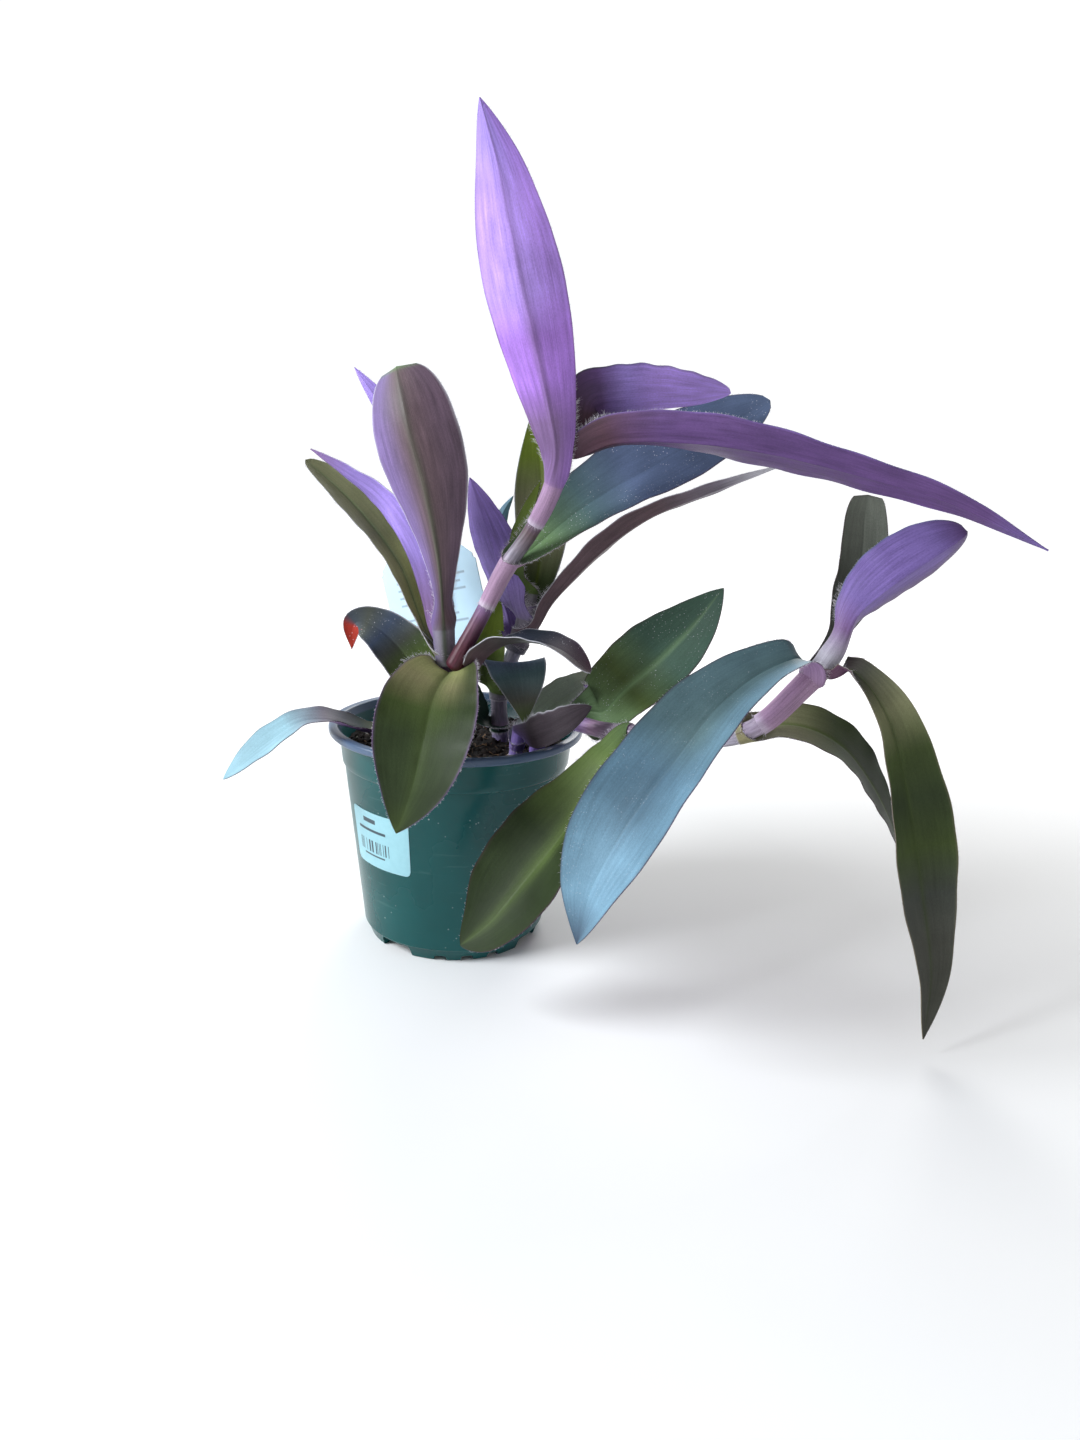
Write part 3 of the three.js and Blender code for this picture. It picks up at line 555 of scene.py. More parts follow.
def pot_material():
    """Thin moulded plastic: glossy, faintly uneven, with dust specks and fine scuffs, and a grey-blue lip
    that is a painted reflection of the pale surround.
    """
    plastic = Surface("pot_plastic", 0.28, Specular_IOR_Level=0.3)
    cloud = plastic.noise(18, 4.0)
    colour = plastic.mix(plastic.spread(cloud, 0.35, 0.65), hue("pot_deep"), hue("pot_light"))
    height = plastic.add("SeparateXYZ", "Z", {"Vector": plastic.place})
    lip_foot = POT_HEIGHT - LIP_HEIGHT
    lip = plastic.spread(height, (lip_foot - 0.3) * MM, (lip_foot + 0.5) * MM)
    # The lip's grey-blue is a painted reflection of the pale surround, in place of the green plastic.
    colour = plastic.mix(lip, colour, hue("lip_reflection"))
    colour = plastic.specked(colour, "dust", 0.55, 330.0, (0.13, 0.07), 60, (0.55, 0.68))
    scuffs = plastic.streaks(plastic.place, (40, 40, 420), 5.0, 0.65)
    colour = plastic.mix(plastic.spread(scuffs, 0.62, 0.8, 0, 0.2), colour, hue("scuff"))
    relief = plastic.bump(scuffs, 0.03, 0.4, plastic.bump(plastic.noise(45, 2.0), 0.25, 0.5))
    return plastic.finish(colour, plastic.spread(cloud, 0.3, 0.7, 0.22, 0.36), relief)


def soil_material():
    earth = Surface("soil_earth", 0.9, Specular_IOR_Level=0.25)
    patches = earth.noise(160, 5.0, 0.6)
    fine = earth.noise(900, 4.0, 0.7)
    colour = earth.mix(earth.spread(patches, 0.35, 0.65), hue("earth_dark"), hue("earth"))
    colour = earth.mix(earth.spread(fine, 0.55, 0.75, 0, 0.5), colour, hue("earth_pale"))
    return earth.finish(colour, earth.spread(fine, 0.3, 0.7, 0.75, 1.0), earth.bump(fine, 0.5, 0.8))


def grain_material(name, paint_name, scale, roughness, low, high, depth):
    """A dry rough stuff, in a paint and its dark tone."""
    stuff = Surface(name, 0.8)
    pits = stuff.noise(scale, 4.0, roughness)
    colour = stuff.mix(stuff.spread(pits, low, high), hue(paint_name + "_dark"), hue(paint_name))
    return stuff.finish(colour, None, stuff.bump(pits, depth, 0.8))


def sticker_material():
    """White paper with a row of plain bars and a few plain rules."""
    paper = Surface("sticker_paper", 0.42, Specular_IOR_Level=0.45)
    across = paper.add("SeparateXYZ", "X", {"Vector": paper.grain})
    cells = paper.math("FLOOR", paper.times(across, 90.0), 0.0)
    chance = paper.add("TexWhiteNoise", "Value", {"W": cells}, noise_dimensions="1D")
    marks = paper.times(paper.math("GREATER_THAN", chance, 0.52), paper.patch(*STICKER_BARS))
    for rule in STICKER_RULES:
        marks = paper.math("MAXIMUM", marks, paper.patch(*rule))
    fibres = paper.noise(500, 4.0)
    white = paper.mix(fibres, hue("paper_dark"), hue("paper"))
    colour = paper.mix(paper.times(marks, 0.92), white, hue("print"))
    return paper.finish(colour, None, paper.bump(fibres, 0.05, 0.5))


def tag_material():
    """Pale satin plastic with a few plain grey rules."""
    card = Surface("tag_card", 0.38, Specular_IOR_Level=0.5)
    marks = 0.0
    for level, end in TAG_RULES:
        rule = card.patch(level, level + TAG_RULE_HEIGHT, TAG_RULE_START, end)
        marks = card.math("MAXIMUM", rule, marks)
    cloud = card.noise(60, 4.0)
    pale = card.mix(cloud, hue("card_dark"), hue("card"))
    colour = card.mix(card.times(marks, 0.55), pale, hue("card_print"))
    relief = card.bump(card.noise(700, 3.0), 0.03, 0.5)
    return card.finish(colour, card.spread(cloud, 0.3, 0.7, 0.32, 0.45), relief)


# The plant's own measures, the same as in the part's source

STEMS = {}
LEAVES = []


def add_stem(name, radius, paints, points, foot_swell=0):
    """A stem, with its radius at the foot and at the top and its paints from foot to top."""
    STEMS[name] = SimpleNamespace(radius=radius, paints=paints, foot_swell=foot_swell, curve=Curve(points))


add_stem("left", (4, 3), "wine*2 plum bark mauve*2 grape", [
    (-9, -9, 48), (-8, -11, 84), (-6, -15, 106), (-3, -20, 124), (-4, -20, 134), (-5, -19, 150)])
# The maroon at the branch's rounded foot is partly its own dark red and partly painted shade on the foot's
# underside.
add_stem("branch", (3.2, 3), "maroon*2 berry mauve silver ash bark mauve rose*2 orchid", [
    (0.2, -28, 125), (3, -28.3, 131), (12, -28.5, 149), (21, -31, 168), (30, -34, 182), (37, -38, 197),
    (41, -41, 212), (42, -43, 222)], foot_swell=1)
add_stem("middle", (4.4, 2.8), "grape*3 ash*2 silver*3", [
    (19, 9, 48), (19, 8, 84), (18, 6, 108), (23, 5, 124), (28, 4, 138), (30, 6, 153)])
add_stem("right", (3.1, 3.6), "plum grape violet*3 rose ash*2 silver*2 rose mauve bark", [
    (30, -6, 48), (34, -9, 82), (39, -14, 97), (47, -21, 103), (61, -34, 104), (74, -45, 106),
    (90, -54, 108), (109, -61, 111), (120, -64, 118), (131, -64, 130), (140, -62, 140), (144, -61, 146)])
add_stem("short", (2.8, 2.4), "navy grape navy", [(25, -15, 48), (26, -18, 84), (28, -22, 99)])

# What most leaves share. sheath is the sheath's length, level is how many steps wider than the stem it is,
# or None where that is worked out, and opening is how far the base takes to open out of it. base, taper,
# widest and blunt shape the outline. fold and curl bend the blade across, in degrees from base to tip.
# beside is a paint with its share on either half, painted shade on several leaves and a painted
# reflection on e2, tip is a paint and where it starts, and a greater hairy gives the margin more hairs.
USUAL = {
    "sheath": 3, "level": None, "opening": 12, "elbow": True, "base": 0.3, "taper": 1, "widest": 0.5,
    "blunt": 0.85, "fold": (10, 12, 8), "curl": (30, 25, 10), "wave": 0.5, "rib_paint": None,
    "rib_width": 0.09, "edge_paint": "wine", "sheath_paint": None, "beside": None, "tip": None, "specks": 0,
    "hairy": 0.5,
}


def add_leaf(name, stem, at, look, width, **settings):
    """A leaf at its share of the stem's length. rib is its midrib from beside the stem to the tip, side is
    the way from there to one margin, and upper and under are the paints of its two faces."""
    given = {"name": "leaf_" + name, "stem": STEMS[stem], "at": at, "look": look, "width": width}
    LEAVES.append(SimpleNamespace(**{**USUAL, **given, **settings}))


# The orchid on one half of a1's underside is painted shade on the half away from the light; the other half
# stays lighter lilac.
add_leaf("a1", "branch", 0.79, "violet", 30, sheath=17, opening=20, base=0.26, taper=1.4, widest=0.55,
    rib=[(38.5, -47, 212), (36.5, -49, 224), (32, -54, 242), (26, -61, 264), (20.5, -66, 285),
         (16, -70, 303), (10, -72, 321)],
    side=[(-1, 0.15, -0.2), (-0.95, 0.2, -0.3)], fold=(6, 9, 8),
    upper="pine teal steel", under="mauve*3 orchid*2 lilac*3 violet*2", rib_paint="mauve", rib_width=0.14,
    beside=("orchid", 0.5, 0), sheath_paint="rose", hairy=0.8)
# The wine near a2's base is partly its own colour and partly painted shade in the fold by the node.
add_leaf("a2", "branch", 0.985, "violet", 34, opening=3, base=1.3, widest=0.4, blunt=0.6,
    rib=[(49, -38, 231), (62, -36, 234), (76, -34, 235), (90, -32, 235), (103, -29, 236)],
    side=[(0.1, -0.9, 0.4), (0.1, -0.9, 0.4)], fold=(45, 45, 35), curl=(50, 25, 10), wave=0.2,
    upper="moss pine navy", under="wine*2 plum violet lilac*4", beside=("plum", 0, 0.05), edge_paint="moss")
add_leaf("a3", "branch", 0.9, "violet", 25, opening=4, base=0.56, widest=0.3, blunt=0.9,
    rib=[(49, -43, 214), (60, -50, 219), (84, -65, 220), (108, -79, 217), (136, -92, 211), (165, -103, 203),
         (194, -110, 190)],
    side=[(-0.4, -0.75, 0.55), (-0.15, -0.8, 0.6), (0.1, -0.8, 0.6)], fold=(20, 4, 2), curl=(40, 8, 5),
    upper="moss pine slate", under="wine*2 plum*6 grape", edge_paint="grape", hairy=0.8)
add_leaf("a4", "branch", 0.46, "green", 34, sheath=20, widest=0.6, blunt=0.55,
    rib=[(31, -27, 176), (48, -22, 191), (66, -20, 203), (86, -18, 214), (104, -16, 224), (121, -14, 234)],
    side=[(0.63, -0.57, -0.54), (0.4, -0.5, -0.75)],
    upper="fern*2 teal mist*4", under="rose mauve plum", sheath_paint="rose", specks=1, hairy=1)
# The shade paint on one half of b0 is painted shade that darkens that half against the sheen it catches.
add_leaf("b0", "left", 0.735, "olive", 41, level=1.5,
    rib=[(-0.5, -31, 127.5), (-5, -45, 121.5), (-8, -60, 107), (-11, -67, 90), (-17, -69, 70)],
    side=[(-1, 0.1, 0.05), (-1, 0.1, 0.2)], fold=(28, 8, 6, 8, 8), curl=(50, 22, 25, 18, 12),
    upper="straw wheat straw olive moss*3 olive", under="rose mauve plum", rib_paint="olive", rib_width=0.2,
    beside=("shade", 0.9, 0), edge_paint="mauve", sheath_paint="silver", hairy=0.8)
add_leaf("b1", "left", 0.9, "violet", 38, sheath=14, level=2.5, opening=18, base=0.15, taper=2.4,
    widest=0.72, blunt=0.3,
    rib=[(-4, -26, 149), (-5, -28, 166), (-7.5, -29, 184), (-11, -29, 200), (-17, -28, 220),
         (-23, -22, 241)],
    side=[(-1, 0.1, -0.15), (-0.96, 0.2, -0.2), (-0.9, 0.3, -0.3)], curl=(50, 30, 10),
    upper="moss pine*2", under="ash bark*9", rib_paint="moss", beside=("grape", 0.1, 0.6),
    tip=("fern", 0.99), edge_paint="milk", hairy=1)
add_leaf("b2", "left", 0.794, "olive", 25, sheath=1.5, level=0, base=0.2, blunt=0.5,
    rib=[(-14, -11, 144), (-22, -5, 163), (-33, 0, 177), (-44, 3, 188), (-55, 5, 197), (-65, 6, 204)],
    side=[(0.55, 0.8, 0.2), (0.5, 0.8, 0.35)], fold=(20, 15, 10),
    upper="ash wheat*2 khaki*3", under="ash straw sand straw khaki*2 straw", rib_paint="fern",
    edge_paint="milk", hairy=1.2)
add_leaf("b3", "left", 0.847, "violet", 20, sheath=1.5, level=0, base=0.24, widest=0.45,
    rib=[(-11, -17, 150), (-16, -16, 167), (-23, -14, 180), (-32, -12, 191), (-45, -9, 200),
         (-60, -6, 209)],
    side=[(-0.55, 0.75, -0.35), (-0.35, 0.8, -0.5)],
    upper="moss pine slate", under="mauve*2 grape violet grape mauve", edge_paint="milk", hairy=1)
add_leaf("b4", "left", 0.957, "violet", 18,
    rib=[(-7, -10, 160), (-10, -7, 178), (-17, -5, 199), (-27, -3, 220), (-43, 0, 241)],
    side=[(-0.9, 0.3, -0.3), (-0.8, 0.4, -0.5)],
    upper="moss pine slate", under="violet grape violet", hairy=1)
add_leaf("b5", "left", 0.578, "green", 26, base=0.35, widest=0.3, blunt=0.95,
    rib=[(-13, -17, 117), (-18.5, -18, 126.5), (-24, -18, 133), (-31, -16.5, 138.5), (-38, -14.5, 140.8),
         (-41.5, -13.8, 140.2), (-42.6, -13.8, 138), (-43, -14, 129)],
    side=[(0.3, 0.5, 0.8), (0.3, 0.5, 0.8), (0.4, 0.45, 0.8), (0.5, 0.4, 0.75), (0.5, 0.4, 0.75),
          (-0.6, 0.2, 0.6), (-1, 0.1, 0)], wave=0.2,
    upper="lime*3 leek slate navy slate navy pine", under="moss olive slate*3", tip=("amber", 0.84),
    edge_paint="milk", specks=0.6)
add_leaf("b6", "left", 0.638, "green", 24, base=0.22, widest=0.7, blunt=0.6,
    rib=[(7.5, -23, 124), (13, -28, 133), (21, -32, 139), (33, -36, 141), (44, -41, 138.5), (55, -46, 130)],
    side=[(-0.6, -0.8, 0), (-0.35, -0.9, 0.1), (-0.4, -0.87, -0.1)], fold=(20, 10, 8), curl=(40, 15, 10),
    upper="pine ink*2 wine", under="ash bark slate ink", edge_paint="milk", specks=0.6)
# The pale blue towards g1's tip is a painted sheen.
add_leaf("g1", "left", 0.415, "green", 21, widest=0.7, blunt=0.75,
    rib=[(-20, -16, 92), (-33, -19, 96), (-43, -23, 100), (-52, -27, 103), (-62, -30, 102), (-77, -36, 92),
         (-91, -40, 79)],
    side=[(-0.3, 0.95, 0), (-0.4, 0.9, 0.05), (-0.45, 0.85, 0.27)], fold=(20, 8, 5), curl=(40, 10, 8),
    upper="olive khaki slate ash frost*3", under="plum mauve sky")
add_leaf("c1", "middle", 0.882, "violet", 20, base=0.25,
    rib=[(21, 2, 153), (15, 4, 170), (9, 7, 184), (3, 11, 199)],
    side=[(-0.87, 0.25, -0.45), (-0.9, 0.15, -0.4)],
    upper="pine slate", under="ash violet*2 lilac", sheath_paint="ash")
add_leaf("c2", "middle", 0.83, "violet", 15, base=0.35, widest=0.4,
    rib=[(37, 2, 147), (46, 2, 159), (60, 1, 174), (77, -1, 187), (99, -4, 197), (131, -8, 210)],
    side=[(-0.5, -0.8, 0.4), (-0.3, -0.8, 0.5)],
    upper="moss pine slate", under="bark*4 ash milk", edge_paint="milk", sheath_paint="ash", hairy=1)
# The lime towards c3's tip and along its midrib is partly its own green and partly a painted glow of light
# through the backlit leaf.
add_leaf("c3", "middle", 0.934, "olive", 26, base=0.25, widest=0.55,
    rib=[(33, 16, 160), (34, 21, 176), (33, 26, 196), (31, 29, 212), (28, 31, 226)],
    side=[(1, 0, -0.1), (1, 0, 0.15)],
    upper="night olive khaki*2 lime*2", under="plum olive lime", rib_paint="lime", edge_paint="milk",
    sheath_paint="ash")
add_leaf("c4", "middle", 0.778, "violet", 11, base=0.35,
    rib=[(20, 14, 142), (17, 17, 150), (15, 21, 165), (15, 24, 177), (17, 26, 184), (21, 28, 191)],
    side=[(-0.9, 0.3, 0.2), (-0.7, 0.3, 0.6)],
    upper="pine steel sky", under="plum grape steel sky", sheath_paint="ash")
add_leaf("c5", "middle", 0.56, "olive", 19,
    rib=[(12, 2, 113), (11, 3, 124), (12, 6, 136), (17, 10, 149)],
    side=[(0.93, 0.25, 0.2), (0.95, 0.1, -0.3)],
    upper="olive leek lime*2", under="moss olive lime", edge_paint="straw", sheath_paint="ash")
add_leaf("c6", "middle", 0.986, "olive", 9, base=0.5, widest=0.4,
    rib=[(24, 0, 160), (24, -2, 168), (26, -4, 180), (29, -5, 190), (33, -6, 200)],
    side=[(0.95, -0.2, -0.2), (0.9, -0.3, -0.3)],
    upper="olive leek lime", under="plum olive*2", sheath_paint="ash")
add_leaf("t1", "middle", 0.63, "green", 26, base=0.25, taper=0.8, widest=0.42, blunt=1.15,
    rib=[(22, -6, 123), (25, -15, 126), (27.5, -21, 121), (29, -24, 112), (30, -26, 102)],
    side=[(-1, -0.2, 0), (-1, 0, -0.07)], fold=(4, 2, 4), curl=(8, 5, 5),
    upper="steel mist*2 teal stone leek", under="plum mauve", edge_paint="milk", sheath_paint="ash")
# d1's near-black greens are partly its own dark green and partly painted shade, deep among the other
# leaves.
add_leaf("d1", "middle", 0.42, "green", 12, base=0.35,
    rib=[(11, 3, 94), (8, 1, 101), (6, -2, 110), (6, -4, 119)],
    side=[(0.65, 0.5, 0.6), (0.9, 0.4, 0.1)],
    upper="night pine night", under="night pine night", edge_paint="pine")
add_leaf("e1", "right", 0.34, "green", 36, base=0.2,
    rib=[(60, -29, 110), (68, -28, 119), (82, -26, 132), (96, -23, 146), (108, -20, 161)],
    side=[(0.65, -0.65, -0.4), (0.7, -0.5, -0.5)], curl=(20, 25, 10),
    upper="fern*2 olive pine*3", under="violet mauve plum", rib_paint="fern", specks=0.5, hairy=0.3)
# e2's blues along its upper face, and the sky paint on one half, are a painted reflection of a pale blue
# sky on its waxy skin.
add_leaf("e2", "right", 0.92, "green", 41, sheath=24, level=1, taper=1.2, widest=0.66,
    rib=[(131, -69, 145), (116, -76, 142), (98, -86, 131), (81, -95, 111), (66, -102, 90), (56, -107, 69),
         (52, -109, 47)],
    side=[(-0.6, 0.75, 0.3), (-0.65, 0.73, 0.2), (-0.74, 0.67, 0.07)], curl=(20, 25, 12),
    upper="ash teal*4 steel*2 sky*2 navy", under="rose violet mauve", beside=("sky", 0.6, 0.1),
    sheath_paint="rose", specks=0.3, hairy=0.3)
# The shade paints towards e3's tip are painted shade, darker than its own olive where the tip faces the
# light.
add_leaf("e3", "right", 0.515, "olive", 44, base=0.22, taper=1.5, widest=0.6, blunt=0.7,
    rib=[(64, -54, 101), (54, -61, 86), (42, -70, 71), (30, -76, 55), (19, -80, 40), (9, -79, 29)],
    side=[(-0.6, 0.8, 0.1), (-0.6, 0.75, 0.2), (-0.5, 0.7, 0.5)],
    upper="fern leek olive shade*4", under="rose mauve plum", rib_paint="leek", rib_width=0.16, hairy=0.3)
# The shade paints along e4's lower part are painted shade, darker than its own olive.
add_leaf("e4", "right", 0.76, "olive", 28,
    rib=[(128, -57, 116), (141, -55, 114), (155, -52, 106), (168, -49, 91), (178, -47, 74), (186, -45, 56)],
    side=[(0.1, -0.85, -0.5), (-0.2, -0.85, -0.4), (-0.4, -0.85, -0.2)], fold=(6, 6, 5), curl=(15, 10, 6),
    upper="khaki*2 olive shade*2 olive", under="straw olive moss", rib_paint="leek")
add_leaf("e5", "right", 0.947, "olive", 31, opening=5, base=0.25, taper=1.3,
    rib=[(148.5, -65, 140.5), (157, -67, 134.5), (166, -70, 122), (172.5, -72, 105), (178, -75, 85),
         (183, -80, 58), (187, -87, 28), (183, -97, 7)],
    side=[(-0.7, -0.65, -0.2), (-0.9, -0.4, -0.1), (-0.9, -0.3, 0.3)],
    upper="berry stone khaki olive moss olive slate stone*3", under="berry mauve sand", rib_paint="olive",
    edge_paint="sand")
# The plum on one half of e6's folded underside is painted shade on the half turned from the light.
add_leaf("e6", "right", 0.98, "violet", 34, opening=14, elbow=False, base=0.24, taper=2,
    widest=0.6, blunt=0.45,
    rib=[(146.5, -59, 153), (152, -57, 162), (165, -55, 174), (178, -54, 183), (189, -54, 190)],
    side=[(-0.75, -0.3, 0.45), (-0.6, -0.15, 0.75), (-0.6, -0.2, 0.75)], fold=(25, 30, 25),
    curl=(40, 35, 35),
    upper="moss bark slate", under="silver mauve grape*4 plum", beside=("plum", 1, 0), edge_paint="steel")
add_leaf("e7", "right", 0.916, "green", 20, sheath=1.5, level=0, opening=8, base=0.12, taper=4, widest=0.6,
    blunt=0.18,
    rib=[(147, -50, 150), (153.5, -41, 162), (157, -37, 170), (159, -31, 181), (159.5, -27, 191),
         (160, -25, 200)],
    side=[(0.95, 0, -0.3), (1, 0, 0)],
    upper="slate cloud*2", under="mauve cloud*2")
add_leaf("f1", "short", 0.99, "violet", 26, sheath=12, blunt=0.6,
    rib=[(34, -33, 100), (41, -38, 104), (48, -42, 109), (56, -43, 116)],
    side=[(-0.85, -0.4, 0.4), (-0.6, -0.65, 0.5)], fold=(45, 45, 35), curl=(50, 25, 10),
    upper="pine slate", under="violet grape soot*5", beside=("soot", 0.8, 0.7), edge_paint="milk")
# f2's pale sage is partly its own olive and partly a painted glow of light through the backlit leaf.
add_leaf("f2", "short", 0.88, "olive", 17,
    rib=[(34, -13, 102), (42, -9, 109), (53, -7, 116), (65, -6, 124)],
    side=[(0.43, -0.8, -0.4), (0.4, -0.75, -0.5)],
    upper="grape sage*2 sand", under="grape khaki")


def stem_radius(stem, share):
    foot, top = stem.radius
    return foot + share * (top - foot)


def leaves_of(stem):
    return [leaf for leaf in LEAVES if leaf.stem is stem]


# Leaves

def lay_out(leaf):
    """Gives a leaf its middle line, which starts on the stem's axis, and the ways it leaves the stem by."""
    leaf.start = leaf.stem.curve.at(leaf.at)
    leaf.tangent = leaf.stem.curve.along(leaf.at)
    leaf.outward = square_to(np.array(leaf.rib[0]) - leaf.start, leaf.tangent)
    step_out = leaf.outward * (stem_radius(leaf.stem, leaf.at) + ELBOW_OUT) + leaf.tangent * ELBOW_UP
    elbow = [leaf.start + step_out] if leaf.elbow else []
    leaf.curve = Curve([leaf.start, *elbow, *leaf.rib])
    leaf.step = np.linalg.norm(step_out) / leaf.curve.length
    leaf.open = leaf.step + leaf.opening / leaf.curve.length
    if not leaf.elbow:
        along = leaf.curve.along(leaf.open)
        up = np.cross(square_to(read_off(leaf.open, leaf.side), along), along)
        leaf.outward = square_to(along - up, leaf.tangent)
    leaf.sideways = np.cross(leaf.outward, leaf.tangent)
    side = square_to(read_off(leaf.step, leaf.side), leaf.curve.along(leaf.step))
    leaf.way = 1 if side @ leaf.sideways >= 0 else -1


def nest_sheaths(stem):
    """Lets each sheath reach down into a mouth close below it, and widens the sheath that it enters."""
    leaves = sorted(leaves_of(stem), key=lambda leaf: -leaf.at)
    for number, leaf in enumerate(leaves):
        leaf.reach = leaf.sheath
        if leaf.level is not None:
            continue
        steps = [(leaf.at - other.at) * stem.curve.length for other in leaves[number + 1:number + 2]]
        leaf.reach = max([leaf.sheath] + [step + 1 for step in steps if step < NEST_LIMIT])
        above = [other.level + 1 for other in leaves[:number]
                 if (other.at - leaf.at) * stem.curve.length < other.reach]
        leaf.level = max(above, default=0)


def outline_share(leaf, t):
    """Half of the leaf's width as a share of its widest, t along it."""
    rising = np.sin(0.5 * np.pi * np.clip(t / leaf.widest, 0, 1)) ** leaf.taper
    rest = np.clip((t - leaf.widest) / (1 - leaf.widest), 0, 1)
    falling = np.maximum(np.cos(0.5 * np.pi * rest), 0) ** leaf.blunt
    before = leaf.base + (1 - leaf.base) * rising
    return np.where(t < leaf.widest, before, np.maximum(TIP_FRACTION, falling))


def blade_points(leaf, t):
    """Points of the blade's middle surface, with t from base to tip, row by row from edge to edge."""
    tangent = leaf.curve.along(t)
    side = square_to(read_off(t, leaf.side), tangent)
    up = np.cross(side, tangent)
    middle = leaf.curve.at(t)
    t = t[:, None]
    half = 0.5 * leaf.width * outline_share(leaf, t)
    fold = np.radians(read_off(t, leaf.fold))
    curl = np.radians(read_off(t, leaf.curl))
    reach = np.abs(COLUMNS)
    way = np.sign(COLUMNS)
    bend = fold + curl * reach
    across = way * half * (np.sin(bend) - np.sin(fold)) / curl
    edge_rise = half * (np.cos(fold) - np.cos(fold + curl)) / curl
    rise = half * (np.cos(fold) - np.cos(bend)) / curl - 0.5 * edge_rise
    swell = np.sin(np.pi * t)
    wave = leaf.wave * reach**2 * np.sin(2 * np.pi * MARGIN_WAVES * t + way) * swell
    ripple = MARGIN_RIPPLE * reach**4 * np.sin(2 * np.pi * MARGIN_RIPPLES * t + 2 * way) * swell
    groove = RIB_GROOVE * np.exp(-((reach / RIB_GROOVE_WIDTH) ** 2)) * np.clip(1 - t, 0, 1)
    level = rise + wave + ripple - groove
    return middle[:, None] + side[:, None] * across[..., None] + up[:, None] * level[..., None]


def sheath_radius(leaf, share):
    """The radius of the sheath's middle surface there, without its flare."""
    return stem_radius(leaf.stem, share) + SHEATH_GAP + NEST_STEP * leaf.level + 0.5 * SHEATH_THICKNESS


def sheath_points(leaf):
    """The tube that clasps the stem below the blade, closest at its foot."""
    step = np.linspace(1, 0, max(5, round(leaf.reach)), endpoint=False)
    share = leaf.at - step * leaf.reach / leaf.stem.curve.length
    tangent = leaf.stem.curve.along(share)
    outward = square_to(leaf.outward, tangent)
    sideways = np.cross(outward, tangent)
    radius = sheath_radius(leaf, share) + SHEATH_FLARE * (1 - step) ** 2
    angles = leaf.way * np.pi * COLUMNS
    return round_about(leaf.stem.curve.at(share), outward, sideways, radius[:, None], angles)


def opening_points(leaf):
    """Where the tube opens into the blade. Its points turn round the stem's axis, so they stay clear of it,
    but those of a leaf that goes on from the stem's end change straight from the tube to the blade."""
    share = np.linspace(0, 1, OPENING_ROWS, endpoint=False)
    axes = np.stack([leaf.outward, leaf.sideways, leaf.tangent])
    blade = blade_points(leaf, share * leaf.open) - leaf.start
    x, y, z = np.moveaxis(blade @ axes.T, -1, 0)
    share = share[:, None]
    blend = smooth_step(0, 1, share)
    clear = sheath_radius(leaf, leaf.at) + SHEATH_FLARE
    tube_angle = leaf.way * np.pi * COLUMNS
    if leaf.elbow:
        blade_angle = np.arctan2(y, x)
        crossed = (blade_angle * tube_angle < 0) & (np.abs(blade_angle) > 0.5 * np.pi)
        blade_angle += np.where(crossed, 2 * np.pi * np.sign(tube_angle), 0)
        angle = tube_angle + (blade_angle - tube_angle) * smooth_step(0, 0.85, share)
        radius = clear + (np.maximum(np.hypot(x, y), clear) - clear) * smooth_step(0.2, 1, share)
        x, y = radius * np.cos(angle), radius * np.sin(angle)
        climb = 2
    else:
        x = clear * np.cos(tube_angle) * (1 - blend) + x * blend
        y = clear * np.sin(tube_angle) * (1 - blend) + y * blend
        climb = leaf.open * leaf.curve.length
    z = climb * share * (1 - blend) + z * blend
    return leaf.start + np.stack([x, y, z], -1) @ axes


def leaf_tints(leaf, face, places):
    """Colours of one face, row by row, with the midrib, the margin and the sheath in their own paints."""
    along = np.clip(places, 0, 1)
    colours = gradient(leaf.upper if face == "upper" else leaf.under, along)
    if face == ("under" if leaf.look == "violet" else "upper"):
        # On several leaves the paint on one half is painted shade, and on e2 it is a painted reflection.
        if leaf.beside:
            name, left, right = leaf.beside
            share = left * smooth_step(0.05, 0.8, -COLUMNS) + right * smooth_step(0.05, 0.8, COLUMNS)
            colours = blended(colours, name, share)
        if leaf.rib_paint:
            rib = np.exp(-((COLUMNS / leaf.rib_width) ** 2)) * (0.8 - 0.5 * along)
            colours = blended(colours, leaf.rib_paint, rib)
    if leaf.tip:
        name, start = leaf.tip
        colours = blended(colours, name, smooth_step(start - 0.015, start + 0.015, places))
    colours = blended(colours, leaf.edge_paint, 0.7 * smooth_step(0.96, 1, np.abs(COLUMNS)))
    if leaf.sheath_paint:
        colours = blended(colours, leaf.sheath_paint, 0.8 - 0.8 * smooth_step(-0.04, 0.09, places))
    foot = 0.4 - 0.4 * smooth_step(SHEATH_PLACE, SHEATH_PLACE + 0.02, places)
    return blended(colours, "milk", foot).reshape(-1, 3)


